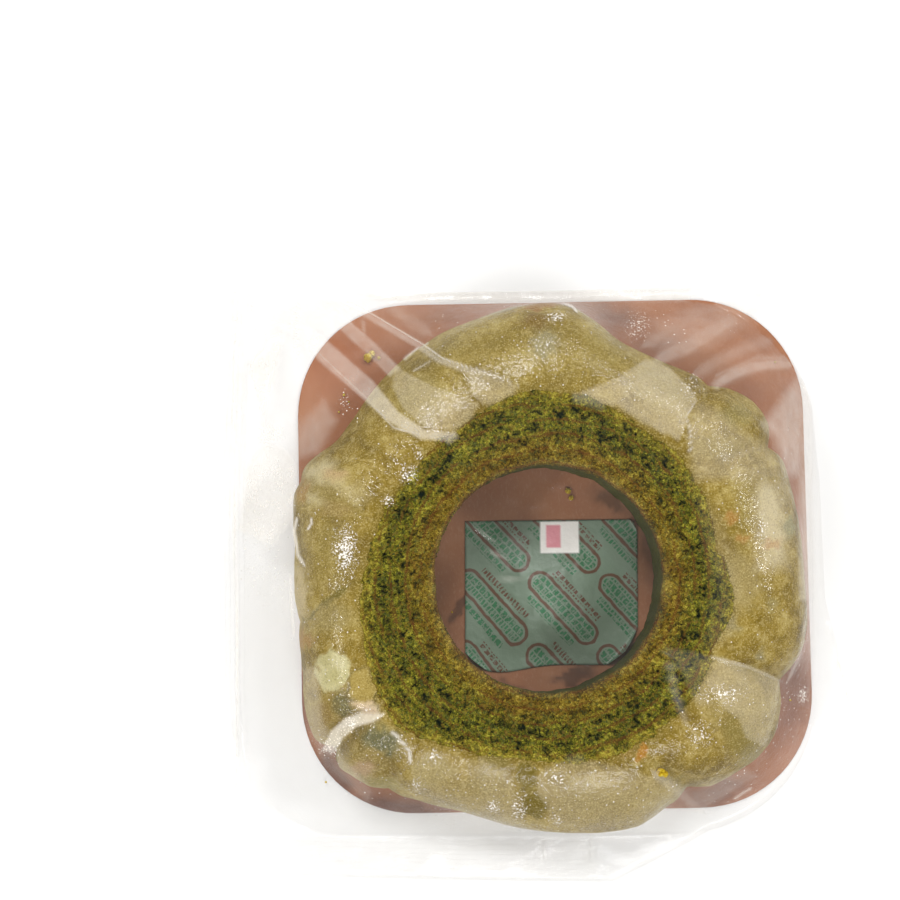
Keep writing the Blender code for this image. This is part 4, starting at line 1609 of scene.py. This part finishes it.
    def scatter_grains(self, crumb: bpy.types.Object, material: bpy.types.Material) -> None:
        """Strews the cut with loose grains of sponge, by Geometry Nodes.

        Args:
            crumb: the sponge whose cut face they lie on.
            material: the sponge.
        """
        made = bpy.data.objects.new("crumb_grains", crumb.data.copy())
        bpy.context.scene.collection.objects.link(made)
        tree = GeometryTree("crumb_grains", {
            "Density": 820000.0, "Least Radius": 0.15 * MM, "Most Radius": 0.4 * MM, "Lumpiness": 0.4 * MM,
            "Seed": 11,
        })
        rows: list[Row] = [
            ("open_face", "GeometryNodeInputNamedAttribute", {"data_type": "FLOAT", "Name": "open"}),
            ("chosen", Kind.MATH, "GREATER_THAN", ">open_face", 0.9),
            ("strewn", "GeometryNodeDistributePointsOnFaces", {
                "Mesh": ">in.Geometry", "Selection": ">chosen", "Density": ">in.Density",
                "Seed": ">in.Seed"}),
            ("ball", "GeometryNodeMeshIcoSphere", {"Radius": 1.0, "Subdivisions": 1}),
            ("size", "FunctionNodeRandomValue", {
                "data_type": "FLOAT", 2: ">in.Least Radius", 3: ">in.Most Radius", "Seed": ">in.Seed"}),
            ("turn", "FunctionNodeRandomValue", {
                "data_type": "FLOAT_VECTOR", 0: (0, 0, 0), 1: (6.28, 6.28, 6.28)}),
            ("laid", "GeometryNodeInstanceOnPoints", {
                "Points": ">strewn.Points", "Instance": ">ball.Mesh", "Rotation": ">turn",
                "Scale": ">size.1"}),
            ("loose", "GeometryNodeRealizeInstances", {"Geometry": ">laid"}),
            ("place", "GeometryNodeInputPosition"),
            ("lump", Kind.NOISE, ">place", per_mm(0.8), 1.0),
            ("centred", Kind.VECTOR, "SUBTRACT", ">lump.Color", (0.5, 0.5, 0.6)),
            ("shift", Kind.VECTOR, "SCALE", ">centred", {"Scale": ">in.Lumpiness"}),
            ("moved", "GeometryNodeSetPosition", {"Geometry": ">loose", "Offset": ">shift"}),
        ]
        tree.run(made, rows, material)
        finish_piece(made, material)

    def build(self) -> None:
        """Makes the sponge, its grains and the glaze."""
        self.build_crumb()
        self.build_glaze()


@dataclass
class CardTray:
    """The square card tray with round corners that the cake stands on."""

    form: PackForm
    view: PhotoView
    centre: Point = (5.85, 6.75)
    half: float = 78.9
    corner: float = 34.7
    # It lies turned a little in the bag, anticlockwise.
    turn: float = 1.1
    low: float = 0.15
    high: float = 1.2
    edge_round: float = 0.35
    press_depth: float = 0.18
    press_inset: float = 5.6
    around: int = 360
    stains: tuple[Stain, ...] = tuple(Stain(*row) for row in (
        # Where the cake's oil has soaked into the card inside the hole. The long patch by the hole's right
        # wall is painted shadow.
        ((461, 607), (6, 21), "#472510", 0.85, 30, 0.3), ((612, 502), (26, 10), "#3c2715", 0.8, 32, 0.5),
        ((648, 548), (13, 34), "#3a2a1a", 0.7, -14, 0.6), ((572, 677), (26, 8), "#45281a", 0.85, -8, 0.35),
        ((590, 664), (8, 13), "#3a2216", 0.75, 40, 0.35), ((500, 684), (22, 6), "#523424", 0.7, 12, 0.4),
        # Painted shade: the card darker where the cake and the film shade it beside the lobes.
        ((628, 326), (52, 15), "#73564a", 0.75, 26, 0.5), ((334, 774), (36, 15), "#5a382b", 0.9, 54, 0.5),
        ((402, 808), (62, 15), "#5a382b", 0.9, 8, 0.5), ((716, 794), (44, 16), "#6e4432", 0.85, -24, 0.5),
        ((792, 696), (26, 54), "#6f3f29", 0.85, 14, 0.5), ((305, 700), (8, 46), "#6a4334", 0.8, -4, 0.4),
        ((338, 366), (48, 54), "#9a5530", 0.65, 40, 0.6),
    ))

    def build(self) -> None:
        """Makes the tray: a flat board with softened edges and a faint pressed line inside its rim."""
        edge = self.edge_round
        # How far each ring lies in from the rim, close together where the oil has soaked in.
        level = (79.0, 74.0, *(68.0 - 1.3 * k for k in range(27)), 30.0, 14.0, 6.4)
        insets = (
            *((inset, self.high) for inset in level), (self.press_inset, self.high - self.press_depth),
            *((inset, self.high) for inset in (4.8, 2.0, edge)),
            (0.1, self.high - 0.1), (0.0, self.high - edge), (0.0, self.low + edge),
            (0.1, self.low + 0.1), (edge, self.low), (30.0, self.low), (79.0, self.low),
        )
        inner = self.half - self.corner
        outline: list[Point] = []
        quarters = ((inner, inner, 0), (-inner, inner, 90), (-inner, -inner, 180), (inner, -inner, 270))
        for dx, dy, first in quarters:
            outline += self.form.arc((dx, dy), self.corner, first, first + 90, 16)
        x, y = self.centre
        columns = []
        for k in range(self.around):
            degrees = 360 * k / self.around
            turn = math.radians(degrees + self.turn)
            whole = self.form.reach(outline, degrees, (0.0, 0.0))
            radii = [(max(whole - inset * whole / self.half, 0.5), z) for inset, z in insets]
            rings = [(x + radius * math.cos(turn), y + radius * math.sin(turn), z) for radius, z in radii]
            columns.append([(x, y, self.high), *rings, (x, y, self.low)])
        places = np.array(columns)
        tray = Skin("card_tray", places, poles=True)
        # Oil soaks in the hole, and painted shade and shadow, placed by where each point shows.
        tray.store("stain", stain_colours(self.stains, self.view.pixels(places), places, "#a46d4a", 1.0))
        finish_piece(tray.made, CoatedCard().build())


@dataclass
class AbsorberSachet:
    """The oxygen absorber: a small pillow of laminated paper with flat crimped edges, lying in the hole."""

    form: PackForm
    # Corners from the hole's centre: top left, top right, low right, low left. Then the lower edge's belly.
    corners: tuple[Point, ...] = ((-24.0, 17.9), (29.5, 18.6), (29.5, -26.5), (-24.0, -26.0))
    belly: float = -2.6
    level: float = 1.35
    fill: float = 3.9
    seam: float = 0.11
    # The share of the sheet over which the pillow rises from its seam. Then what is folded: size, height.
    shoulder: float = 0.36
    creases: Point = (9.0, 0.55)
    wrinkles: Point = (3.0, 0.2)
    crimps: Point = (1.6, 0.07)
    # Two layers of paper, and how steeply the corner bends up at the hole's wall.
    least_thick: float = 0.3
    bend: float = 1.6
    plump: float = 0.8
    edge_thick: float = 0.12
    # The square of colour and the plain panel below it: U from and to, V from and to, colour, strength.
    panels: tuple[tuple[float, float, float, float, str, float], ...] = (
        (0.47, 0.555, 0.03, 0.19, "#ee98a4", 0.97), (0.44, 0.66, 0.0, 0.23, "#fffaf4", 1.0),
    )
    grid: tuple[int, int] = (84, 76)
    wall_reach: float = 33.0
    # The sheet's size, and where its print starts.
    sheet: Point = (53.5, 44.6)
    print_start: Point = (8.0, -3.0)

    def sheet_point(self, u: float, v: float) -> Point:
        """The place of a point of the sheet, whose sides run from 0 to 1, from the hole's centre."""
        tl, tr, br, bl = self.corners
        x = (1 - v) * ((1 - u) * tl[0] + u * tr[0]) + v * ((1 - u) * bl[0] + u * br[0])
        y = (1 - v) * ((1 - u) * tl[1] + u * tr[1]) + v * ((1 - u) * bl[1] + u * br[1])
        return (x, y + self.belly * (math.exp(-(((u - 0.2) / 0.2) ** 2)) * v**3))

    def height(self, u: float, v: float, x: float, y: float) -> float:
        """How thick the sachet is at a point, with its wrinkles and the crimped seams."""
        edge = min(u, 1 - u, v, 1 - v)
        full = 1.0
        for away in (min(u, 1 - u), min(v, 1 - v)):
            share = max(0.0, min(1.0, (away - 0.6 * self.seam) / self.shoulder))
            full *= share * share * (3 - 2 * share)
        puff = self.fill * full**self.plump
        (wide, deep), (small, shallow), (pitch, ridge) = self.creases, self.wrinkles, self.crimps
        broad = deep * abs(ripple(x / wide, y / wide, 4.0, 2))
        creased = broad + shallow * ripple(x / small, y / small, 1.0, 2)
        crimp = ridge * math.sin(2 * math.pi * (x + y) / pitch) if edge < self.seam * 0.8 else 0.0
        return self.least_thick + puff + creased * (0.25 + full) + crimp

    def patch(self, u: float, v: float) -> Colour:
        """The colour of the panels at the sachet's upper edge.

        Args:
            u: how far across the sheet, from 0 to 1.
            v: how far down the sheet.

        Returns:
            A linear colour, whose alpha is zero beside the panels.
        """
        for left, right, high, low, colour, strength in self.panels:
            if left < u < right and high < v < low:
                return (*linear(colour)[:3], strength)
        return (0.5, 0.5, 0.5, 0.0)

    def build(self) -> None:
        """Makes the sachet: a closed pillow whose corner bends up where the hole's wall stops it."""
        across, down = self.grid
        cx, cy = self.form.hole_centre
        points, sheets, patches = [], [], []
        for side in (1, 0):
            for j in range(down + 1):
                for i in range(across + 1):
                    u, v = i / across, j / down
                    x, y = self.sheet_point(u, v)
                    over = max(0.0, math.hypot(x, y) - self.wall_reach)
                    shrink = self.wall_reach / math.hypot(x, y) if over > 0 else 1.0
                    thick = self.height(u, v, x, y) if side else 0.0
                    rise = self.level + self.bend * over + max(thick, self.edge_thick * side)
                    points.append(((cx + x * shrink) * MM, (cy + y * shrink) * MM, rise * MM))
                    sheets.append((u * self.sheet[0] + self.print_start[0],
                                   (1 - v) * self.sheet[1] + self.print_start[1], 0.0))
                    patches.append(self.patch(u, v))
        row = across + 1
        layer = row * (down + 1)
        faces = []
        for j in range(down):
            for i in range(across):
                a = j * row + i
                faces.append((a, a + row, a + row + 1, a + 1))
                faces.append((layer + a, layer + a + 1, layer + a + row + 1, layer + a + row))
        rim = [
            *(j * row for j in range(down)), *(down * row + i for i in range(across)),
            *(down * row + across - j * row for j in range(down)), *(across - i for i in range(across)),
        ]
        faces += [(b, a, layer + a, layer + b) for a, b in zip(rim, rim[1:] + rim[:1])]
        sachet = new_object("absorber_sachet", points, faces)
        store(sachet, "sheet", np.array(sheets))
        store(sachet, "patch", np.array(patches))
        finish_piece(sachet, SachetPaper().build())


@dataclass
class BagFilm:
    """The clear bag: one closed envelope of film, with its folds, patches of painted sheen, and crushed
    patches with painted glints.
    """

    form: PackForm
    view: PhotoView
    marks: FilmMarks
    around: int = 1080
    rings: dict[Zone, int] = field(default_factory=lambda: dict(zip(Zone, (6, 8, 27, 34, 11))))
    # Small wrinkles where the film lies level: least height, how much is added, size, row of the noise.
    puckers: dict[Zone, Four] = field(default_factory=lambda: {
        Zone.HOLE: (0.0, 0.25, 16.0, 2.0), Zone.CUT: (0.12, 0.12, 8.0, 5.0),
        Zone.MARGIN: (0.25, 0.5, 14.0, 9.0),
    })
    # Folds round the flank and in the free film: waves, over how many millimetres outwards they change.
    fold_pace: float = 9.0
    fold_runs: Point = (16.0, 40.0)
    least_gap: float = 0.10
    # Their height, then how much of it is lost at the nose. Then at the span's ends, and more in its middle.
    flank_folds: Point = (0.55, 0.4)
    span_folds: Point = (0.33, 1.3)
    under: float = 0.02
    edge_level: float = 0.3
    edge_thick: float = 0.12
    # The rings of the under sheet as shares of the way out, the first of which curls up half as far.
    under_shares: tuple[float, ...] = (0.97, 0.8, 0.4, 0.0)
    under_curl: float = 0.5
    # The free corners: x and y of the tip, size, and how far it curls up.
    curls: tuple[Four, ...] = ((99.0, -44.5, 14.0, 2.6), (75.0, 90.0, 16.0, 3.0), (-97.0, 93.0, 18.0, 2.2))

    def profile(self, spoke: Spoke) -> list[tuple[float, float, Zone, float]]:
        """The film's top sheet along one spoke.

        Args:
            spoke: the direction.

        Returns:
            Radius, height, zone and share of the way through that zone, from the hole outwards.
        """
        form = self.form
        line: list[tuple[float, float, Zone, float]] = [(0.0, form.cake_top - form.hole_sag, Zone.HOLE, 0.0)]
        for zone, count in self.rings.items():
            for k in range(1, count + 1):
                share = k / count
                if zone is Zone.HOLE:
                    radius = form.hole_radius * share
                    height = form.cake_top - form.hole_sag * (1 - share**2)
                elif zone is Zone.CUT:
                    radius = form.hole_radius + (spoke.cut - form.hole_radius) * share
                    height = form.cake_top
                elif zone is Zone.FLANK:
                    down = spoke.touched * math.sin(math.pi / 2 * share)
                    radius = spoke.cut + (spoke.nose - spoke.cut) * down
                    height = form.flank_height(down) - form.cleft(spoke.degrees, down)
                elif zone is Zone.SPAN:
                    radius = spoke.leave + (spoke.foot - spoke.leave) * share
                    height = spoke.leave_height + (form.margin_at_foot - spoke.leave_height) * share
                    height += form.fold(spoke.degrees, share)
                else:
                    radius = spoke.foot + (spoke.edge - spoke.foot) * share
                    height = form.margin_at_foot + (self.edge_level - form.margin_at_foot) * share**0.6
                line.append((radius, height, zone, share))
        return line

    def wrinkle(self, spoke: Spoke, radius: float, zone: Zone, share: float) -> float:
        """How high small wrinkles stand over the film's smooth form."""
        x, y, _ = self.form.place(spoke.degrees, radius, 0.0)
        if zone in self.puckers:
            least, height, size, row = self.puckers[zone]
            lift = least + height * ripple(x / size, y / size, row, 2)
            return max(0.0, lift) * math.sin(math.pi * share) if zone is Zone.MARGIN else lift
        if zone is Zone.FLANK:
            drawn = abs(round_noise(spoke.degrees, self.fold_pace, radius / self.fold_runs[0], 2))
            height, lost = self.flank_folds
            return self.least_gap + height * drawn * share * (1 - lost * share)
        pulled = abs(round_noise(spoke.degrees, self.fold_pace, radius / self.fold_runs[1], 3))
        ends, middle = self.span_folds
        return self.least_gap + (ends + middle * math.sin(math.pi * share)) * pulled * (1 - share**3)

    @staticmethod
    def stand_off_haze(zone: Zone, share: float) -> float:
        """How hazy the free film is by itself: more and more where it stands off the cake."""
        if zone is Zone.SPAN:
            return 0.003 + 0.008 * share
        return {Zone.MARGIN: 0.03, Zone.HOLE: 0.02}.get(zone, 0.0)

    @staticmethod
    def cling(zone: Zone, share: float) -> float:
        """How finely the film is dented by what it lies on."""
        dents = {Zone.HOLE: 0.0, Zone.CUT: 0.1, Zone.FLANK: 0.6, Zone.SPAN: 0.15, Zone.MARGIN: 0.25}
        return dents[zone] * (min(1.0, 0.2 + 2 * share) if zone is Zone.FLANK else 1.0)

    def ear_curl(self, x: float, y: float) -> float:
        """How far the bag's free corners curl up off the table."""
        curl = 0.0
        for at_x, at_y, size, height in self.curls:
            curl += height * max(0.0, 1 - math.hypot(x - at_x, y - at_y) / size) ** 2
        return curl

    def build(self) -> bpy.types.Material:
        """Makes the envelope.

        Returns:
            The film's material, for the seals.
        """
        form = self.form
        columns = []
        for spoke in form.spokes(self.around):
            column = []
            line = self.profile(spoke)
            for radius, height, zone, share in line:
                x, y, z = form.place(spoke.degrees, radius, height + self.wrinkle(spoke, radius, zone, share))
                column.append((x, y, z + self.ear_curl(x, y) if zone is Zone.MARGIN else z))
            edge_x, edge_y, edge_z = column[-1]
            column.append((edge_x, edge_y, max(edge_z - self.edge_thick, self.under)))
            for share in self.under_shares:
                curl = self.ear_curl(edge_x, edge_y) * self.under_curl
                low = self.under + (curl if share == self.under_shares[0] else 0.0)
                column.append(form.place(spoke.degrees, spoke.edge * share, low))
            columns.append(column)
        places = np.array(columns)
        places[:, 0, 2] = places[:, 0, 2].mean()
        pixels = self.view.pixels(places)
        marks = self.marks
        folded, lift = marks.folds(pixels)
        # Painted sheen: the sheen patches and the folds' highlights are painted on the film as white.
        haze = np.maximum(marks.spread(marks.veils, pixels), folded)
        # Crushed patches get white specks of painted glints, and the sparkles painted dots.
        frost, spark = marks.crushed(pixels), marks.spread(marks.sparkles, pixels)
        dents = np.zeros(places.shape[:2])
        for ring, (_, _, zone, share) in enumerate(line):
            haze[:, ring] = np.maximum(haze[:, ring], self.stand_off_haze(zone, share))
            dents[:, ring] = self.cling(zone, share)
            if zone in (Zone.HOLE, Zone.CUT):
                spark[:, ring] = 0.0
        # Only the top sheet is marked.
        shown = np.zeros(places.shape[:2])
        shown[:, :len(line)] = 1.0
        places[..., 2] += lift * shown
        film = Skin("bag_film", places, poles=True)
        for name, values in (("haze", haze), ("frost", frost), ("spark", spark), ("cling", dents)):
            film.store(name, values * shown)
        material = ClearFilm().build()
        finish_piece(film.made, material)
        return material


@dataclass
class SealRibs:
    """The crimped ribs of the bag's heat seals, which run along its edges."""

    film: bpy.types.Material
    pitch: float = 1.45
    rib_radius: float = 0.16
    level: float = 0.95
    samples: int = 70

    def band(self, name: str, path: Sequence[Point], step: Point, count: int, seed: float) -> None:
        """Makes one seal by Geometry Nodes: a rib along its edge, repeated across its width.

        Args:
            name: the piece's name.
            path: the first rib's line, in millimetres.
            step: the direction of the next rib.
            count: how many ribs.
            seed: what its waviness starts from.
        """
        points = [(x * MM, y * MM, self.level * MM) for x, y in path]
        made = new_object(name, points, [], [(k, k + 1) for k in range(len(points) - 1)])
        tree = GeometryTree(name + "_ribs", {
            "Count": count, "Step": (step[0] * self.pitch * MM, step[1] * self.pitch * MM, 0.0),
            "Rib Radius": self.rib_radius * MM, "Samples": self.samples, "Seed": seed,
        })
        rows: list[Row] = [
            ("curve", "GeometryNodeMeshToCurve", {"Mesh": ">in.Geometry"}),
            ("fine", "GeometryNodeResampleCurve", {"Curve": ">curve", "Count": ">in.Samples"}),
            ("ring", "GeometryNodeCurvePrimitiveCircle", {"Resolution": 5, "Radius": ">in.Rib Radius"}),
            ("rib", "GeometryNodeCurveToMesh", {
                "Curve": ">fine", "Profile Curve": ">ring", "Fill Caps": True}),
            ("rows", "GeometryNodeMeshLine", {"mode": "OFFSET", "Count": ">in.Count", "Offset": ">in.Step"}),
            ("placed", "GeometryNodeInstanceOnPoints", {"Points": ">rows", "Instance": ">rib"}),
            ("loose", "GeometryNodeRealizeInstances", {"Geometry": ">placed"}),
            ("place", "GeometryNodeInputPosition"),
            ("sway", Kind.SEEDED, ">in.Seed", ">place", per_mm(16.0), 2.0),
            ("centred", Kind.VECTOR, "SUBTRACT", ">sway.Color", (0.5, 0.5, 0.5)),
            ("scaled", Kind.VECTOR, "MULTIPLY", ">centred", (2 * MM, 2 * MM, 0.6 * MM)),
            ("moved", "GeometryNodeSetPosition", {"Geometry": ">loose", "Offset": ">scaled"}),
        ]
        tree.run(made, rows, self.film)
        finish_piece(made, self.film)

    def build(self) -> None:
        """Makes the left, lower and upper seals."""
        left = ((-96.0, 88.0), (-97.6, 45.0), (-98.0, 10.0), (-97.0, -35.0), (-94.6, -76.0))
        bottom = ((-93.0, -91.0), (-30.0, -92.6), (24.0, -93.0))
        top = ((-40.0, 87.4), (8.0, 88.6), (40.0, 89.2), (72.0, 89.6))
        self.band("bag_seal_left", left, (1.0, 0.0), 6, 1.0)
        self.band("bag_seal_bottom", bottom, (0.0, 1.0), 9, 2.0)
        self.band("bag_seal_top", top, (0.0, -1.0), 2, 3.0)


@dataclass
class LooseCrumbs:
    """Crumbs that have come off the cake, lying in the bag where the photograph shows them."""

    form: PackForm
    view: PhotoView
    # Pixel, level that it lies on, size.
    crumbs: tuple[tuple[Point, float, float], ...] = (
        ((368, 358), 1.5, 2.7), ((372, 354), 1.5, 2.0), ((379, 358), 1.5, 1.0), ((660, 772), 37.8, 2.7),
        ((665, 774), 37.8, 1.8), ((568, 491), 1.5, 1.9), ((571, 498), 1.5, 1.6), ((344, 395), 1.5, 0.8),
        ((349, 402), 1.4, 0.6), ((339, 412), 1.4, 0.6), ((790, 700), 1.5, 0.7), ((326, 782), 1.4, 0.7),
        ((775, 362), 1.4, 0.6), ((452, 612), 4.8, 0.7),
    )
    around: int = 12
    rows: int = 8
    # How lumpy a crumb is, how flat it lies, and how high its middle, as shares of its size.
    lumpiness: float = 0.5
    flatness: float = 0.7
    middle: float = 0.4
    # How many lumps a crumb has or so, and how far apart the crumbs are read in the noise.
    lump_pace: float = 2.3
    lump_step: float = 5.0
    yellow: tuple[str, ...] = ("#8a6c10", "#b3921a", "#d0b124", "#e2ca44", "#f0e083")

    def build(self) -> None:
        """Makes all the crumbs as one piece: lumpy scraps of sponge."""
        points: list[Place] = []
        faces: list[tuple[int, ...]] = []
        around, rows = self.around, self.rows
        for number, (pixel, level, size) in enumerate(self.crumbs):
            x, y = self.view.level_point(pixel, level)
            start = len(points)
            for j in range(rows + 1):
                lean = math.pi * j / rows
                for i in range(around if 0 < j < rows else 1):
                    turn = 2 * math.pi * i / around
                    out = heading(turn, lean)
                    bumps = ripple(*(out * self.lump_pace + Vector((number * self.lump_step, 0, 0))), 3)
                    at = out * (0.5 * size * (1 + self.lumpiness * bumps))
                    rise = level + self.middle * size + self.flatness * at.z
                    points.append(((x + at.x) * MM, (y + at.y) * MM, rise * MM))
            last = len(points) - 1
            for i in range(around):
                near, far = start + 1 + i, start + 1 + (i + 1) % around
                faces.append((start, near, far))
                faces.append((last, last - around + (i + 1) % around, last - around + i))
                for down in range(0, (rows - 2) * around, around):
                    faces.append((near + down, near + down + around, far + down + around, far + down))
        scrap = GreenTeaCrumb(
            self.form.hole_centre, inner=self.yellow, outer=self.yellow, grey_green="#b3921a", toast="#a06d18"
        )
        finish_piece(new_object("loose_crumbs", points, faces), scrap.build())


@dataclass(frozen=True)
class SoftLamp:
    """One distant round lamp: bearing, lean from straight up and width in degrees, and irradiance."""

    bearing: float
    lean: float
    spread: float
    irradiance: float

    def build(self, name: str) -> None:
        """Makes the lamp, which lights the whole floor evenly."""
        turn, lean = math.radians(self.bearing), math.radians(self.lean)
        towards = heading(turn, lean)
        data = bpy.data.lights.new(name, "SUN")
        data.energy = self.irradiance
        data.angle = math.radians(self.spread)
        lamp = bpy.data.objects.new(name, data)
        lamp.location = towards
        lamp.rotation_euler = towards.to_track_quat("Z", "Y").to_euler()
        bpy.context.scene.collection.objects.link(lamp)


@dataclass
class Studio:
    """A plain pale floor under soft light that comes from all round but not from straight overhead."""

    floor_half: float = 6.0
    floor_level: float = -0.2
    sky: float = 0.48
    lamps: tuple[SoftLamp, ...] = (
        SoftLamp(105, 27, 16, 1.05), SoftLamp(285, 29, 22, 0.85), SoftLamp(20, 42, 6, 0.5),
        SoftLamp(195, 38, 6, 0.5), SoftLamp(240, 50, 12, 0.4), SoftLamp(60, 48, 10, 0.5),
    )

    def build(self) -> None:
        """Makes the floor, the lamps and the sky."""
        half, level = self.floor_half, self.floor_level * MM
        corners = [(-half, -half, level), (half, -half, level), (half, half, level), (-half, half, level)]
        floor = new_object("floor", corners, [(0, 1, 2, 3)])
        floor.data.shade_flat()
        floor.data.materials.append(new_material("pale_floor", (
            ("place", Kind.COORDS),
            ("tone", Kind.NOISE, ">place", 3.0),
            ("shade", Kind.RAMP, ">tone", {
                "ramp": ((0.3, (0.88, 0.88, 0.875, 1)), (0.7, (0.9, 0.9, 0.895, 1)))}),
            ("matt", "ShaderNodeBsdfDiffuse", {"Color": ">shade"}),
        )))
        for number, lamp in enumerate(self.lamps):
            lamp.build(f"soft_lamp_{number}")
        world = bpy.data.worlds.new("pale_sky")
        world.use_nodes = True
        table = NodeTable(world.node_tree)
        table.add((
            ("towards", Kind.COORDS),
            ("part", "ShaderNodeSeparateXYZ", {0: ">towards.Generated"}),
            ("shade", Kind.RAMP, ">part.Z", {"ramp": ((0.78, WHITE), (0.93, (0.08, 0.08, 0.08, 1.0)))}),
        ))
        backdrop = world.node_tree.nodes["Background"]
        backdrop.inputs["Strength"].default_value = self.sky
        world.node_tree.links.new(table.entry(">shade"), backdrop.inputs["Color"])
        bpy.context.scene.world = world
        bpy.context.scene.view_settings.view_transform = "Standard"


def main() -> None:
    """Builds the camera, the studio and every piece of the pack in order."""
    logging.basicConfig(level=logging.INFO, format="%(name)s: %(message)s")
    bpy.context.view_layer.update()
    form, view, marks = PackForm(), PhotoView(), FilmMarks()
    view.build()
    Studio().build()
    CardTray(form, view).build()
    CakeRing(form, view, marks).build()
    AbsorberSachet(form).build()
    LooseCrumbs(form, view).build()
    film = BagFilm(form, view, marks).build()
    SealRibs(film).build()
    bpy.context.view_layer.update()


if __name__ == "__main__":
    main()
